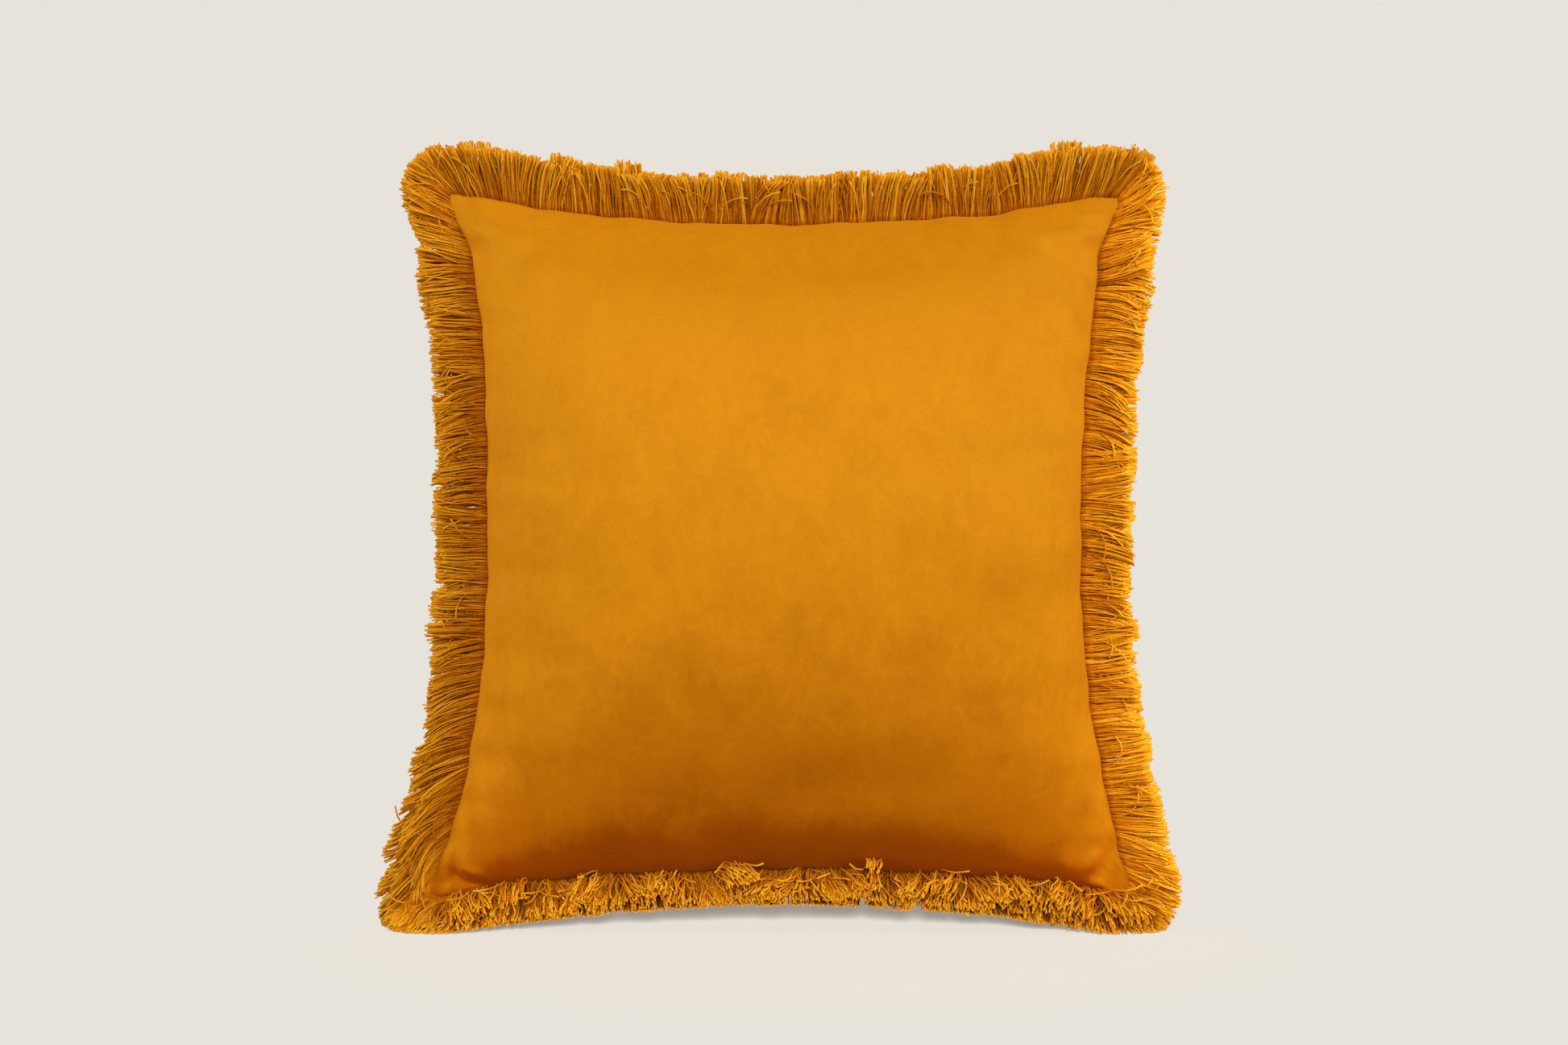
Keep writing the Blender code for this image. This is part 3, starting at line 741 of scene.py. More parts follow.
def nylon_material(name):
    """Moulded nylon, with slight flow marks."""
    n = Nodes(name)
    flow = n.noise((700, 700, 700), 2.0)
    n.set(Base_Color=n.ramp(flow, [(0.3, (0.46, 0.18, 0.012)), (0.7, (0.60, 0.26, 0.022))]))
    n.set(Normal=n.bump(flow, 0.1, 0.05 * MM), Roughness=0.38)
    return n.material


# Cover --------------------------------------------------------------------------------------------


def back_levels(u):
    """v of every row of the back, for columns u: up to the slot, across it and on to the top."""
    low = level(u, ZIP_HEIGHT - slot_rise(u))
    high = level(u, ZIP_HEIGHT + slot_rise(u))
    near = level(u, ZIP_HEIGHT + slot_rise(u) + ZIP_NEAR_REACH)
    below = 1 - np.cos(np.linspace(0, 1, ZIP_ROWS_BELOW + 1) * math.pi / 2)
    rows = [mix(-1.0, low, share) for share in below]
    rows += [mix(high, near, share) for share in np.linspace(0, 1, ZIP_ROWS_NEAR + 1)]
    above = np.linspace(0, 1, CELL_ROWS - len(rows) + 2)[1:]
    rows += [mix(near, 1.0, share) for share in np.sin(above * math.pi / 2)]
    return np.array(rows)


def arc_places(points):
    """Distance along a row of points, from its middle."""
    steps = np.linalg.norm(np.diff(points, axis=0), axis=1)
    run = np.concatenate([[0], np.cumsum(steps)])
    return run - run[-1] / 2


def cover_grids():
    """Start points of the front and back, and the same cloth laid flat as it was cut."""
    columns = towards_seam(np.linspace(-1, 1, CELL_COLUMNS + 1))
    rows = towards_seam(np.linspace(-1, 1, CELL_ROWS + 1))
    u_front, v_front = np.meshgrid(columns, rows)
    v_back = back_levels(columns)
    u_back = np.broadcast_to(columns, v_back.shape)
    grids = []
    for u, v, side, depth in ((u_front, v_front, -1, front_depth), (u_back, v_back, 1, back_depth)):
        x, z = on_face(u, v)
        points = np.stack([x, side * depth(u, v), z], -1)
        flat = np.zeros_like(points)
        flat[..., 0] = arc_places(points[CELL_ROWS // 2])[None, :] * CLOTH_SPARE
        flat[..., 2] = arc_places(points[:, CELL_COLUMNS // 2])[:, None] * CLOTH_SPARE
        flat[..., 1] = side
        grids.append({"u": u, "v": v, "side": side, "points": points, "flat": flat})
    return grids


def held_points(grids):
    """True on the seam and on the strip that the zip holds."""
    held = np.zeros((2, *grids[0]["u"].shape), bool)
    held[:, (0, -1), :] = True
    held[:, :, (0, -1)] = True
    back = grids[1]["points"]
    held[1] |= zip_hold(back[..., 0], back[..., 2]) > CLOTH_HELD_BY_ZIP
    return held


def swell(grids):
    """Blows the cover up as cloth held along its seam and along the zip."""
    shape = grids[0]["u"].shape
    count = shape[0] * shape[1]
    points = np.concatenate([grid["points"].reshape(-1, 3) for grid in grids])
    flat = np.concatenate([grid["flat"].reshape(-1, 3) for grid in grids])
    faces = np.concatenate([grid_faces(*shape), grid_faces(*shape, start=count)[:, ::-1]])
    bag = mesh_object("cloth_run", points, faces, None)
    group = bag.vertex_groups.new(name="held")
    group.add(np.flatnonzero(held_points(grids)).tolist(), 1.0, "REPLACE")
    bag.shape_key_add(name="made")
    cut = bag.shape_key_add(name="cut")
    cut.data.foreach_set("co", flat.ravel())

    cloth = bag.modifiers.new("cloth", "CLOTH")
    settings = cloth.settings
    settings.quality = CLOTH_QUALITY
    settings.mass = CLOTH_MASS
    settings.vertex_group_mass = "held"
    settings.rest_shape_key = cut
    settings.tension_stiffness = CLOTH_STIFFNESS
    settings.compression_stiffness = CLOTH_STIFFNESS
    settings.shear_stiffness = CLOTH_STIFFNESS / 3
    settings.bending_stiffness = CLOTH_BENDING
    settings.air_damping = CLOTH_AIR_DAMPING
    settings.use_pressure = True
    settings.uniform_pressure_force = CLOTH_PRESSURE
    settings.effector_weights.gravity = 0.0
    cloth.collision_settings.use_collision = False
    cloth.collision_settings.use_self_collision = False
    cloth.point_cache.frame_start = 1
    cloth.point_cache.frame_end = CLOTH_FRAMES
    scene = bpy.context.scene
    for number in range(1, CLOTH_FRAMES + 1):
        scene.frame_set(number)
    run = bag.evaluated_get(bpy.context.evaluated_depsgraph_get())
    moved = np.zeros(len(points) * 3)
    run.data.vertices.foreach_get("co", moved)
    scene.frame_set(1)
    bpy.data.objects.remove(bag, do_unlink=True)

    shift = moved.reshape(-1, 3) - points
    length = np.linalg.norm(shift, axis=1, keepdims=True)
    shift *= CLOTH_CAP * np.tanh(length / CLOTH_CAP) / np.maximum(length, TINY)
    for grid, moved_by in zip(grids, shift.reshape(2, *shape, 3)):
        grid["points"] = grid["points"] + moved_by


def gathers(u, v, rng):
    """How deep the cover dips where it is gathered along the seam."""
    x, z = on_face(u, v)
    dip = np.zeros_like(x)
    sides = (
        (x, (1 - v) * SEAM_HALF_HEIGHT),
        (x, (1 + v) * SEAM_HALF_HEIGHT),
        (z - SEAM_MIDDLE, (1 - u) * TOP_HALF_WIDTH),
        (z - SEAM_MIDDLE, (1 + u) * TOP_HALF_WIDTH),
    )
    for along, away in sides:
        for _ in range(GATHERS):
            middle = math.sin(rng.uniform(-1, 1) * math.pi / 2) * TOP_HALF_WIDTH
            spans = (GATHER_WIDTH, GATHER_REACH, GATHER_DEPTH)
            width, reach, depth = (rng.uniform(*span) for span in spans)
            near = np.exp(-away / reach) * (1 - np.exp(-away / GATHER_START))
            dip += depth * near * np.exp(-((along - middle) / width) ** 2)
    return dip


def folds(x, z):
    """How deep the front dips at its few larger folds, each with a raised lip beside it."""
    dip = np.zeros_like(x)
    for middle_x, middle_z, length, width, turn, depth in FOLDS:
        turn = math.radians(turn)
        right = x - middle_x * MM
        up = z - middle_z * MM
        along = (right * math.cos(turn) + up * math.sin(turn)) / (length * MM)
        across = (up * math.cos(turn) - right * math.sin(turn)) / (width * MM)
        valley = np.exp(-across ** 2) - LIP_SHARE * np.exp(-(across - LIP_PLACE) ** 2)
        dip += depth * MM * valley * np.exp(-along ** 2)
    return dip


def lumps(x, z, rng, size):
    """Slow unevenness of a stuffed surface, about size high."""
    total = np.zeros_like(x)
    for _ in range(LUMP_WAVES):
        turn = rng.uniform(0, 2 * math.pi)
        pitch = rng.uniform(*LUMP_PITCH) / (2 * math.pi)
        along = (x * math.cos(turn) + z * math.sin(turn)) / pitch
        total += np.sin(along + rng.uniform(0, 2 * math.pi))
    return size * total / (LUMP_WAVES / 2)


def crease(grids):
    """Presses the gathers, folds and lumps into the swollen cover, except where it is held."""
    rng = np.random.default_rng(SEED)
    for grid in grids:
        u, v, points = grid["u"], grid["v"], grid["points"]
        x, z = points[..., 0], points[..., 2]
        free = smooth((1 - np.maximum(np.abs(u), np.abs(v))) / LUMPS_FADE)
        dip = gathers(u, v, rng)
        dip += free * lumps(x, z, rng, COVER_LUMPS)
        if grid["side"] < 0:
            dip += free * folds(x, z)
        else:
            dip *= 1 - zip_hold(x, z)
        room = DIP_SHARE * (np.abs(points[..., 1]) - SEAM_HALF_GAP)
        room = np.maximum(room, DIP_LEAST_ROOM)
        dip = np.where(dip > 0, room * np.tanh(dip / room), dip)
        shifted = points.copy()
        shifted[..., 1] -= grid["side"] * dip
        grid["points"] = shifted


def rim_of(count, width, open_edge):
    """Grid places round a panel's sewn edge, in order. An open edge at the zip is left out."""
    bottom = [(0, c) for c in range(width)]
    right = [(r, width - 1) for r in range(count)]
    top = [(count - 1, c) for c in range(width)][::-1]
    left = [(r, 0) for r in range(count)][::-1]
    if open_edge == "top":
        return left + bottom[1:] + right[1:]
    if open_edge == "bottom":
        return right + top[1:] + left[1:]
    return bottom + right[1:] + top[1:] + left[1:]


def panel_object(name, grid, rows, material, open_edge=None):
    """One piece of the cover, from some rows of a grid, with its seam allowance turned in."""
    points = grid["points"][rows]
    side = grid["side"]
    count, width = points.shape[:2]
    rim = rim_of(count, width, open_edge)
    faces = grid_faces(count, width).tolist()
    verts = points.reshape(-1, 3).tolist()
    ring = [r * width + c for r, c in rim]
    for scale, depth in TURNED_IN:
        fresh = []
        for r, c in rim:
            x, _, z = points[r, c]
            fresh.append(len(verts))
            verts.append((x * scale, side * depth, SEAM_MIDDLE + (z - SEAM_MIDDLE) * scale))
        faces += [[b, a, d, e] for a, b, d, e in zip(ring, ring[1:], fresh, fresh[1:])]
        ring = fresh
    if side > 0:
        faces = [face[::-1] for face in faces]
    thing = mesh_object(name, verts, faces, material)
    mesh = bmesh.new()
    mesh.from_mesh(thing.data)
    bmesh.ops.remove_doubles(mesh, verts=mesh.verts, dist=SAME_POINT)
    mesh.to_mesh(thing.data)
    mesh.free()
    add_modifier(thing, "SUBSURF", levels=1, render_levels=1)
    add_modifier(thing, "SOLIDIFY", thickness=CLOTH_THICKNESS, offset=-1.0)
    apply_modifiers(thing)
    return thing


def make_cover():
    """The front panel and the two back panels that meet at the zip."""
    grids = cover_grids()
    swell(grids)
    crease(grids)
    velvet = velvet_material("velvet")
    slot_row = ZIP_ROWS_BELOW + 1
    front = panel_object("velvet_front", grids[0], slice(None), velvet)
    lower = panel_object("velvet_back_lower", grids[1], slice(0, slot_row), velvet, "top")
    upper = panel_object("velvet_back_upper", grids[1], slice(slot_row, None), velvet, "bottom")
    finish_piece(front, "pillow", "velvet", "cover_front_panel")
    finish_piece(lower, "pillow", "velvet", "cover_back_lower_panel")
    finish_piece(upper, "pillow", "velvet", "cover_back_upper_panel")
    return front, lower, upper


# Insert and label ---------------------------------------------------------------------------------


def insert_side(side, scale, depth, edge, zip_room):
    """Points of one side of the insert. Its back stays zip_room clear of the zip."""
    places = towards_seam(np.linspace(-1, 1, INSERT_CELLS + 1))
    u, v = np.meshgrid(places, places)
    x, z = on_face(u, v)
    x, z = x * scale, SEAM_MIDDLE + (z - SEAM_MIDDLE) * scale
    y = edge + depth * (front_depth(u, v) - SEAM_HALF_GAP)
    if side > 0:
        strip = ZIP_DEPTH + (z - ZIP_HEIGHT) * math.tan(ZIP_SLOPE) - zip_room
        y = np.minimum(y, np.maximum(strip, edge))
    return np.stack([x, side * y, z], -1)


def make_casings():
    cotton = woven_material("casing")
    made = []
    for name, side in (("front", -1), ("back", 1)):
        points = insert_side(side, CASING_SCALE, CASING_DEPTH, CASING_HALF_SEAM, CASING_ZIP_ROOM)
        round_by = np.arctan2(points[..., 2] - SEAM_MIDDLE, points[..., 0])
        points[..., 1] *= 1 - CASING_PUCKER * np.abs(np.sin(CASING_PUCKERS * round_by))
        faces = grid_faces(INSERT_CELLS + 1, INSERT_CELLS + 1)
        thing = mesh_object(f"casing_{name}", points, faces if side < 0 else faces[:, ::-1], cotton)
        add_modifier(thing, "SOLIDIFY", thickness=CASING_THICKNESS, offset=-1.0)
        apply_modifiers(thing)
        made.append(finish_piece(thing, "pillow", "casing", f"insert_casing_{name}"))
    return made


def make_filling():
    """A closed lumpy mass of fibre."""
    rng = np.random.default_rng(SEED + FILLING_SEED)
    size = INSERT_CELLS + 1
    sides = []
    for side in (-1, 1):
        points = insert_side(side, FILLING_SCALE, FILLING_DEPTH, FILLING_HALF_SEAM, FILLING_ZIP_ROOM)
        uneven = lumps(points[..., 0], points[..., 2], rng, FILLING_LUMPS)
        points[..., 1] *= 1 - np.abs(uneven) / HALF_THICKNESS
        sides.append(points)
    faces = np.concatenate([grid_faces(size, size), grid_faces(size, size, size * size)[:, ::-1]])
    rim = np.array([r * size + c for r, c in rim_of(size, size, None)])
    wall = np.stack([rim[1:], rim[:-1], rim[:-1] + size * size, rim[1:] + size * size], -1)
    fibre = fibre_material("fibre")
    thing = mesh_object("fibre_filling", np.stack(sides), np.concatenate([faces, wall]), fibre)
    finish_piece(thing, "pillow", "fibre", "insert_filling")


def make_label():
    """A blank satin label inside the back panel."""
    satin = woven_material("label")
    rows, columns = (cells + 1 for cells in LABEL_CELLS)
    u, v = np.meshgrid(np.linspace(*LABEL_U, columns), np.linspace(*LABEL_V, rows))
    x, z = on_face(u, v)
    ripple = LABEL_RIPPLE * np.sin((v - LABEL_V[0]) * LABEL_RIPPLES)
    points = np.stack([x, back_depth(u, v) - LABEL_INSIDE + ripple, z], -1)
    thing = mesh_object("blank_label", points, grid_faces(rows, columns)[:, ::-1], satin)
    add_modifier(thing, "SOLIDIFY", thickness=LABEL_THICKNESS, offset=-1.0)
    apply_modifiers(thing)
    return finish_piece(thing, "pillow", "label", "care_label")


# Zip ----------------------------------------------------------------------------------------------


def cast_copy(node, body, voxel, metal):
    """A CAD metal piece with its edges softened, as die casting leaves them."""
    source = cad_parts[node]
    thing = link(bpy.data.objects.new(f"{node}_cast", source.data.copy()))
    thing.matrix_world = source.matrix_world
    thing.data.materials.clear()
    thing.data.materials.append(metal)
    add_modifier(thing, "REMESH", mode="VOXEL", voxel_size=voxel)
    add_modifier(thing, "SMOOTH", **CAST_SMOOTHING)
    apply_modifiers(thing)
    thing.data.polygons.foreach_set("material_index", [0] * len(thing.data.polygons))
    finish_piece(thing, body, "zip_metal", node)


def make_coils():
    """Two wound nylon coils, a half turn out of step."""
    nylon = nylon_material("zip_coil")
    turns = 2 * COIL_HALF_LENGTH / COIL_PITCH
    share = np.linspace(0, 1, int(turns * COIL_STEPS) + 1)
    for name, side in (("upper", 1), ("lower", -1)):
        angle = share * turns * 2 * math.pi + (math.pi if side > 0 else 0)
        up = side * COIL_CENTRE + COIL_RADIUS * np.cos(angle)
        out = COIL_LIFT + COIL_RADIUS * np.sin(angle)
        path = zip_point(mix(-COIL_HALF_LENGTH, COIL_HALF_LENGTH, share), up, out)
        thing = tube_object(f"coil_{name}", path[None], COIL_WIRE, COIL_SIDES, nylon)
        finish_piece(thing, "pillow", "zip_coil", f"zip_coil_{name}")


def make_stitches():
    """A row of topstitching on each side of the zip."""
    thread = yarn_material("thread", YARN_TONES[2][1])
    starts = np.arange(-STITCH_HALF_ROW, STITCH_HALF_ROW, STITCH_PITCH)
    along = np.linspace(0, 1, STITCH_POINTS)
    made = []
    for name, side in (("upper", 1), ("lower", -1)):
        x = starts[:, None] + along[None] * STITCH_LENGTH
        out = (STITCH_LIFT - STITCH_DIVE * (2 * along - 1) ** 4) * MM
        paths = zip_point(x, side * STITCH_PLACE, out[None])
        thing = tube_object(f"stitches_{name}", paths, STITCH_RADIUS, STITCH_SIDES, thread)
        made.append(finish_piece(thing, "pillow", "yarn"))
    return made


def make_zip():
    metal = metal_material("zip_metal")
    tape = woven_material("zip_tape")
    for node in ("zip_tape_upper", "zip_tape_lower"):
        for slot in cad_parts[node].material_slots:
            slot.material = tape
    for node in ("zip_bottom_stop", "zip_top_stop_lower", "zip_top_stop_upper"):
        cast_copy(node, "pillow", CAST_VOXELS["stop"], metal)
    for body in ("slider", "pull"):
        cast_copy(f"zip_{body}", body, CAST_VOXELS[body], metal)
    make_coils()
    return make_stitches()


# Fringe -------------------------------------------------------------------------------------------

# Which way each side's yarns leave the seam, and which way along it counts as positive.
SIDES = {
    "top": ((0.0, 1.0), (1.0, 0.0)),
    "right": ((1.0, 0.0), (0.0, 1.0)),
    "bottom": ((0.0, -1.0), (1.0, 0.0)),
    "left": ((-1.0, 0.0), (0.0, 1.0)),
}
PIECES = {"top": 2, "right": 2, "bottom": 4, "left": 2}


def seam_points(side, along):
    """(x, z) on one side of the seam, at places from -1 to 1."""
    one = np.ones_like(along)
    if side == "top":
        return on_face(along, one)
    if side == "bottom":
        return on_face(along, -one)
    return on_face(one if side == "right" else -one, along)


class Clumps:
    """Groups of neighbouring yarns that lie together."""

    def __init__(self, place, width, rng):
        along = place * SIDE_HALF_LENGTH
        steps = width * rng.uniform(*CLUMP_WIDTHS, int(3 * SIDE_HALF_LENGTH / width))
        edges = np.cumsum(steps) - SIDE_HALF_LENGTH - width
        self.index = np.clip(np.searchsorted(edges, along), 1, len(edges) - 1)
        self.off_middle = along - (edges[self.index - 1] + edges[self.index]) / 2
        self.count = len(edges)
        self.rng = rng

    def vary(self, spread, middle=0.0):
        """One random number for each clump, handed to each of its yarns."""
        return self.rng.normal(middle, spread, self.count)[self.index]

    def lean(self, spread):
        """As vary, but most clumps stay nearly straight and a few lean a lot."""
        lean = self.rng.standard_t(CLUMP_TAILS, self.count) * spread
        most = CLUMP_MOST_LEAN * spread
        return np.clip(lean, -most, most)[self.index]


def corner_fan(place):
    """The yarns fan out round the corners, so that the fringe has no gap there."""
    (sharp, sharp_power), (slight, slight_power) = FAN
    turn = sharp * np.abs(place) ** sharp_power + slight * np.abs(place) ** slight_power
    return np.sign(place) * turn


def straightness(place):
    """1 along the side and 0 at its corners."""
    return 1 - np.abs(place) ** STRAIGHT_POWER


def side_yarns(side, place, layer, rng):
    """Angles along the seam and out of its plane, at each yarn's root and tip, and its length."""
    count = len(place)
    clumps = Clumps(place, CLUMP_WIDTH, rng)
    tufts = Clumps(place, TUFT_WIDTH, rng)
    straight = straightness(place)
    kind = "top" if side == "top" else "side"
    lean = clumps.lean(CLUMP_LEAN[kind]) + tufts.vary(TUFT_LEAN[kind])
    lean *= mix(CORNER_LEAN, 1.0, straight)
    gather = SIDE_SHARES["gather"] * clumps.vary(*SIDE_GATHER)
    root = SIDE_SHARES["root"] * lean + rng.normal(0, SIDE_NOISE["root"], count)
    tip = SIDE_SHARES["tip"] * lean + clumps.vary(SIDE_NOISE["clump"])
    tip -= gather * clumps.off_middle / FRINGE_REACH
    tip += rng.normal(0, SIDE_NOISE["tip"], count)
    if side != "top":
        droop = DROOP[side] * smooth(-place * DROOP_START) * straight
        root -= DROOP_ANGLES["root"] * droop
        tip -= DROOP_ANGLES["all"] * straight + DROOP_ANGLES["tip"] * droop
    stray = rng.random(count) < SIDE_STRAY["share"]
    tip += np.where(stray, rng.normal(0, SIDE_STRAY["turn"], count), 0)
    out_root = layer * SIDE_OUT["root"]
    out_tip = layer * SIDE_OUT["tip"] + clumps.vary(SIDE_OUT["clump"])
    out_tip += rng.normal(0, SIDE_OUT["yarn"], count)
    out_tip -= np.where(stray & (layer < 0), rng.uniform(0, SIDE_STRAY["front"], count), 0)
    fan = corner_fan(place)
    length = clumps.vary(SIDE_LENGTH["clump"], 1.0) * rng.normal(1.0, SIDE_LENGTH["yarn"], count)
    if side != "top":
        length *= 1 + DROOP_LENGTH * droop
    return fan + root, fan + tip, out_root, out_tip, length


def bottom_yarns(place, layer, rng):
    """The same for the bottom side, whose yarns are splayed to the front and back."""
    count = len(place)
    depth = np.abs(layer)
    way = np.sign(layer)
    outermost = smooth((depth - OUTERMOST[0]) / OUTERMOST[1])
    clumps = Clumps(place, CLUMP_WIDTH, rng)
    lean = clumps.vary(BOTTOM_LEAN[0]) + outermost * clumps.vary(BOTTOM_LEAN[1])
    root = BOTTOM_SHARES["root"] * lean + rng.normal(0, BOTTOM_NOISE["root"], count)
    tip = BOTTOM_SHARES["tip"] * lean
    tip -= clumps.vary(*BOTTOM_GATHER) * clumps.off_middle / FRINGE_REACH
    tip += rng.normal(0, BOTTOM_NOISE["tip"], count)
    stray = rng.random(count) < BOTTOM_STRAY["share"] + BOTTOM_STRAY["outer"] * outermost
    tip += np.where(stray, rng.normal(0, BOTTOM_STRAY["turn"], count), 0)
    squash = mix(CORNER_SQUASH, 1.0, straightness(place))
    rise = mix(BOTTOM_RISE["inner"], BOTTOM_RISE["outer"], depth ** BOTTOM_RISE["power"])
    rise += outermost * clumps.vary(BOTTOM_RISE["clump"])
    bow = mix(BOTTOM_BOW["inner"], BOTTOM_BOW["outer"], depth) + clumps.vary(BOTTOM_BOW["clump"])
    bow += rng.normal(0, BOTTOM_BOW["yarn"], count)
    out_root = way * squash * rise
    out_tip = way * squash * bow
    loop = stray & (depth > LOOPS_FROM)
    out_root += np.where(loop, way * rng.uniform(*LOOP_ROOT, count), 0)
    out_tip += np.where(loop, way * rng.uniform(*LOOP_TIP, count), 0)
    fan = corner_fan(place)
    length = clumps.vary(BOTTOM_LENGTH, 1.0) * rng.normal(1.0, BOTTOM_LENGTH, count)
    return fan + root, fan + tip, out_root, out_tip, length


def yarn_paths(side, rng):
    """Centre lines of the yarns on one side (yarn, step, xyz), from the back ones to the front."""
    outward, sideways = (np.array([x, 0.0, z]) for x, z in SIDES[side])
    below = side == "bottom"
    layers = BOTTOM_LAYERS if below else FRINGE_LAYERS
    density = BOTTOM_YARNS_PER_METRE if below else YARNS_PER_METRE
    per_layer = int(density * 2 * SIDE_HALF_LENGTH / layers)
    parts = []
    for number in range(layers):
        spot = rng.uniform(-1, 1, per_layer)
        place = np.sign(spot) * (1 - (1 - np.abs(spot)) ** CORNER_CROWDING)
        layer = 1 - 2 * (number + rng.random(per_layer)) / layers
        if below:
            lie = bottom_yarns(place, layer, rng)
        else:
            lie = side_yarns(side, place, layer, rng)
        parts.append((place, layer, *lie))
    joined = (np.concatenate(part) for part in zip(*parts))
    place, layer, in_root, in_tip, out_root, out_tip, length = joined
    count = len(place)

    reach = TOP_FRINGE_REACH if side == "top" else FRINGE_REACH
    height = seam_points(side, place)[1]
    corner = np.where(height > SEAM_MIDDLE, TOP_CORNER_REACH, FOOT_CORNER_REACH.get(side, 0.0))
    reach = mix(reach, corner, np.abs(place) ** CORNER_REACH_POWER) * length
    reach *= 1 - CORNER_TRIM * np.abs(place) ** CORNER_TRIM_POWER
    steps = np.linspace(0, 1, YARN_STEPS)
    middle = (steps[1:] + steps[:-1])[None] / 2
    in_plane = mix(in_root[:, None], in_tip[:, None], middle ** BEND_POWER)
    out_power = BOTTOM_OUT_POWER if below else 1.0
    out = mix(out_root[:, None], out_tip[:, None], middle ** out_power)
    at_front = smooth((-layer[:, None] - FRONT_WAVY["from"]) / FRONT_WAVY["over"])
    wavy = WAVY + FRONT_WAVY["more"] * at_front * below
    ripple = rng.normal(0, 1, (count, 2))
    one, other = ripple[:, :1], ripple[:, 1:]
    in_plane = in_plane + wavy * one * np.sin(middle * WAVES_IN + WAVE_SHIFT * other)
    out = out + 0.5 * wavy * other * np.sin(middle * WAVES_OUT + WAVE_SHIFT * one)
    way = outward * (np.cos(out) * np.cos(in_plane))[..., None]
    way = way + sideways * (np.sin(in_plane) * np.cos(out * OUT_ON_LEAN))[..., None]
    way = way + np.array([0, 1.0, 0]) * (np.sin(out) * np.cos(in_plane * LEAN_ON_OUT))[..., None]
    way /= np.linalg.norm(way, axis=2, keepdims=True)
    stride = way * (reach / (YARN_STEPS - 1))[:, None, None]
    x, z = seam_points(side, np.clip(place, -SEAM_END, SEAM_END))
    root = np.stack([x, layer * ROOT_HALF_SPAN, z], -1) - outward * ROOT_INSIDE
    run = np.concatenate([np.zeros((count, 1, 3)), np.cumsum(stride, axis=1)], axis=1)
    paths = root[:, None, :] + run

    floor = FLOOR_CLEARANCE + rng.uniform(0, FLOOR_SPREAD, count)
    if below:
        floor = floor + BOTTOM_LIFT * (1 - np.minimum(1, np.abs(place) / BOTTOM_LIFT_SPAN) ** 2)
        under = np.maximum(0, floor[:, None] - paths[..., 2])
        paths[..., 2] += FOOT_GIVE * under
        paths[..., 1] += FOOT_SPREAD * np.sin(out_tip)[:, None] * under
    else:
        under = np.maximum(0, floor - paths[..., 2].min(1))
        paths[..., 2] += under[:, None] * steps[None] ** FLOOR_BEND_POWER
    return paths


def yarn_piece(name, side, paths, materials, rng):
    """One mesh of capped yarns. Each has painted shade at its root and painted light at its cut end.
    """
    count = len(paths)
    taper = np.linspace(*YARN_TAPER, YARN_STEPS)
    thick = YARN_RADIUS * rng.normal(1.0, YARN_RADIUS_SPREAD, (count, 1)) * taper
    start = rng.uniform(0, 2 * math.pi, (count, 1, 1))
    points, quads, step_of, side_of = tubes(paths, thick, YARN_SIDES, start)
    first = np.arange(count)[:, None] * points.shape[1]
    faces = (quads[None] + first[:, :, None]).reshape(-1, 4)
    ring = np.arange(YARN_SIDES)
    caps = np.concatenate([ring[::-1] + first, ring + first + points.shape[1] - YARN_SIDES])
    length = np.linalg.norm(np.diff(paths, axis=1), axis=2).sum(1)[:, None, None]
    twist = length / YARN_TURN * math.pi * step_of / (YARN_STEPS - 1)
    twist = twist + side_of * 2 * math.pi / YARN_SIDES + rng.uniform(0, math.pi, (count, 1, 1))

    lightest = len(materials) - 1
    tone = np.clip(np.round(rng.normal(MIDDLE_TONE, TONE_SPREAD, count)), 1, lightest)
    step = step_of[None, :, 0]
    # Painted shade near the root and painted light near the cut end, a tone each.
    deeper = (step < rng.integers(0, SHADED_ROOT_STEPS, (count, 1))).astype(int)
    lighter = (step >= YARN_STEPS - rng.integers(*LIT_TIP_STEPS, (count, 1))).astype(int)
    tones = np.clip(tone[:, None] - deeper + lighter, 0, lightest)
    # The root's cap is painted a tone deeper as shade, and the cut end's cap a tone lighter as painted
    # light.
    cap_tones = np.concatenate([tone - 1, np.minimum(tone + 1, lightest)])

    mesh = bpy.data.meshes.new(name)
    mesh.vertices.add(points.shape[0] * points.shape[1])
    mesh.vertices.foreach_set("co", points.reshape(-1))
    corners = np.concatenate([faces.ravel(), caps.ravel()])
    sizes = np.full(len(faces) + len(caps), YARN_SIDES)
    mesh.loops.add(len(corners))
    mesh.loops.foreach_set("vertex_index", corners)
    mesh.polygons.add(len(sizes))
    mesh.polygons.foreach_set("loop_start", np.concatenate([[0], np.cumsum(sizes)[:-1]]))
    mesh.polygons.foreach_set("loop_total", sizes)
    tone_of_face = np.concatenate([tones.ravel(), cap_tones]).astype(int)
    mesh.polygons.foreach_set("material_index", tone_of_face)
    is_round = np.concatenate([np.ones(len(faces), bool), np.zeros(len(caps), bool)])
    mesh.polygons.foreach_set("use_smooth", is_round)
    attribute = mesh.attributes.new("twist", "FLOAT", "CORNER")
    turned = np.concatenate([twist.reshape(-1), np.zeros(caps.size)])
    attribute.data.foreach_set("value", turned.astype(np.float32))
    mesh.update()
    for material in materials:
        mesh.materials.append(material)
    thing = link(bpy.data.objects.new(name, mesh))
    return finish_piece(thing, "pillow", "yarn", f"fringe_{side}")


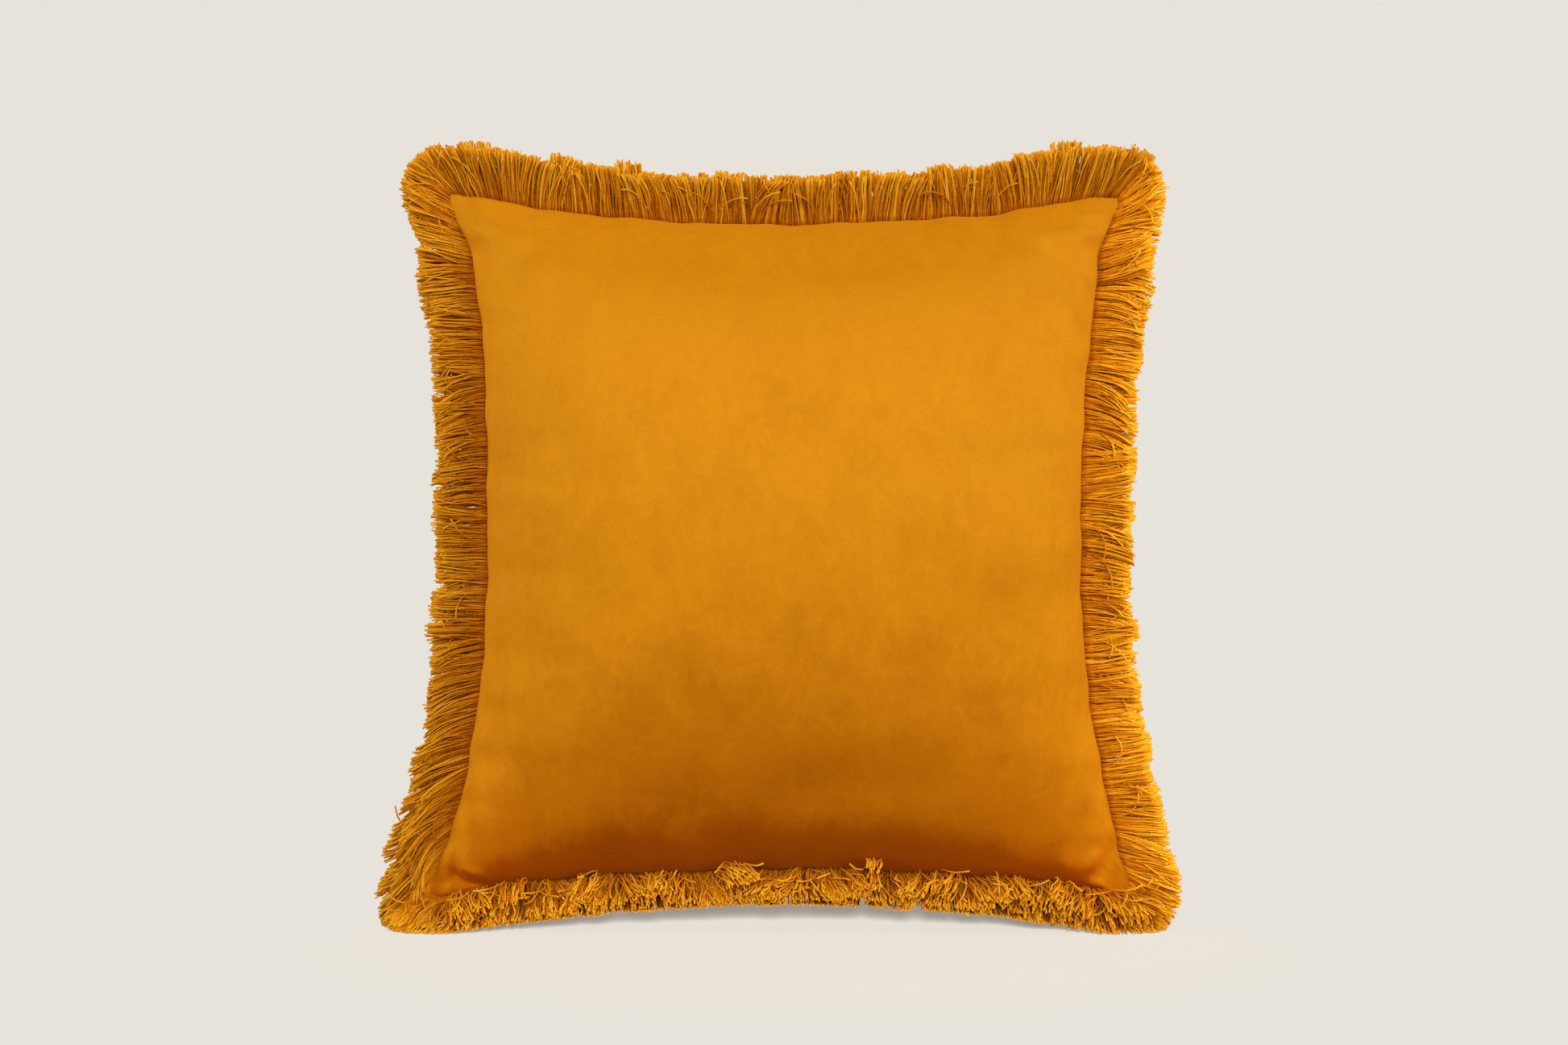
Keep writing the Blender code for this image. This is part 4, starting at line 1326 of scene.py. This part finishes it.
def make_heading():
    """The woven band that the yarns hang from, sewn into the seam all round."""
    rings = []
    for side, flip in (("bottom", 1), ("right", 1), ("top", -1), ("left", -1)):
        along = flip * towards_seam(np.linspace(-1, 1, HEADING_CUTS + 1)[:-1])
        x, z = seam_points(side, along)
        outward = np.array(SIDES[side][0])
        turn = corner_fan(along)
        sideways = np.array(SIDES[side][1])
        for px, pz, bend in zip(x, z, turn):
            out = outward * math.cos(bend) + sideways * math.sin(bend)
            inner = (px * HEADING_INNER, SEAM_MIDDLE + (pz - SEAM_MIDDLE) * HEADING_INNER)
            outer = (px + out[0] * HEADING_STANDS, pz + out[1] * HEADING_STANDS)
            rings.append([
                (inner[0], -HEADING_HALF, inner[1]), (outer[0], -HEADING_HALF, outer[1]),
                (outer[0], HEADING_HALF, outer[1]), (inner[0], HEADING_HALF, inner[1]),
            ])
    count = len(rings)
    quads = []
    for number in range(count):
        after = (number + 1) % count
        quads += [
            (number * 4 + k, number * 4 + (k + 1) % 4, after * 4 + (k + 1) % 4, after * 4 + k)
            for k in range(4)
        ]
    band = woven_material("webbing")
    thing = mesh_object("fringe_band", rings, quads, band)
    add_modifier(thing, "BEVEL", width=HEADING_BEVEL, segments=2)
    apply_modifiers(thing)
    return finish_piece(thing, "pillow", "webbing", "fringe_heading")


def make_fringe():
    materials = [yarn_material(name, colour) for name, colour in YARN_TONES]
    made = [make_heading()]
    for number, side in enumerate(SIDES):
        rng = np.random.default_rng(SEED + 1 + number)
        paths = yarn_paths(side, rng)
        for part, chosen in enumerate(np.array_split(paths, PIECES[side])):
            made.append(yarn_piece(f"yarns_{side}_{part + 1}", side, chosen, materials, rng))
    return made


# Studio -------------------------------------------------------------------------------------------


def make_stage():
    """A wide plain floor. What lies past it is the studio's own colour."""
    points = [[(x, y, 0.0) for x in (-FLOOR_SPAN, FLOOR_SPAN)] for y in (-FLOOR_SPAN, FLOOR_SPAN)]
    n = Nodes("stage")
    n.set(Base_Color=(*FLOOR_COLOUR, 1.0), Roughness=1.0, Specular_IOR_Level=0.0)
    n.set(Emission_Color=(*BACKDROP, 1.0), Emission_Strength=FLOOR_GLOW)
    stage = mesh_object("stage", points, grid_faces(2, 2), n.material)
    stage.visible_diffuse = False
    stage.visible_glossy = False
    stage.visible_shadow = False
    return stage


def sun(name, place, linked):
    """Even light from far away, which falls only on what is linked."""
    elevation, azimuth, strength, softness = place
    data = bpy.data.lights.new(name, "SUN")
    data.energy = strength
    data.angle = math.radians(softness)
    light = link(bpy.data.objects.new(name, data))
    up, round_by = math.radians(elevation), math.radians(azimuth)
    level_part = math.cos(up)
    towards = (level_part * math.sin(round_by), -level_part * math.cos(round_by), math.sin(up))
    towards = Vector(towards)
    light.rotation_euler = towards.to_track_quat("Z", "Y").to_euler()
    light.light_linking.receiver_collection = linked


def linked_to(name, things, state="INCLUDE"):
    """A collection that says which things a light falls on."""
    collection = bpy.data.collections.new(name)
    for thing in things:
        collection.objects.link(thing)
    for entry in collection.collection_objects:
        entry.light_linking.link_state = state
    return collection


def make_world():
    """The camera sees the backdrop's colour, and the pillow is lit only dimly by it."""
    world = bpy.data.worlds.new("studio")
    world.use_nodes = True
    tree = world.node_tree
    seen = tree.nodes.new("ShaderNodeBackground")
    seen.inputs["Color"].default_value = (*BACKDROP, 1.0)
    dim = tree.nodes["Background"]
    dim.inputs["Color"].default_value = (*WORLD_TINT, 1.0)
    dim.inputs["Strength"].default_value = WORLD_LIGHT
    path = tree.nodes.new("ShaderNodeLightPath")
    both = tree.nodes.new("ShaderNodeMixShader")
    tree.links.new(path.outputs["Is Camera Ray"], both.inputs["Fac"])
    tree.links.new(dim.outputs["Background"], both.inputs[1])
    tree.links.new(seen.outputs["Background"], both.inputs[2])
    tree.links.new(both.outputs["Shader"], tree.nodes["World Output"].inputs["Surface"])
    bpy.context.scene.world = world
    bpy.context.scene.view_settings.view_transform = "Standard"


def make_studio(fringe):
    stage = make_stage()
    all_but_floor = linked_to("all_but_floor", [stage], "EXCLUDE")
    sun("floor_light", FLOOR_SUN, linked_to("floor_only", [stage]))
    for side, place in (("bottom", UNDER_SUN), ("right", RIGHT_SUN)):
        yarns = [piece for piece in fringe if side in piece.name]
        sun(f"{side}_light", place, linked_to(f"{side}_fringe", yarns))
    for name, place in SUNS.items():
        sun(name, place, all_but_floor)
    make_world()


def make_camera():
    data = bpy.data.cameras.new("camera")
    data.sensor_width = SENSOR
    data.lens = SENSOR * CAMERA_DISTANCE / PHOTO_WIDTH
    data.clip_end = CAMERA_SEES_TO
    camera = link(bpy.data.objects.new("camera", data))
    back = Vector((0, -math.cos(CAMERA_ELEVATION), math.sin(CAMERA_ELEVATION)))
    camera.location = Vector((0, 0, AIM_HEIGHT)) + back * CAMERA_DISTANCE
    camera.rotation_euler = (-back).to_track_quat("-Z", "Y").to_euler()
    bpy.context.scene.camera = camera


def main():
    make_camera()
    front, lower, upper = make_cover()
    casings = make_casings()
    make_filling()
    label = make_label()
    stitches_upper, stitches_lower = make_zip()
    fringe = make_fringe()
    make_studio(fringe)


main()
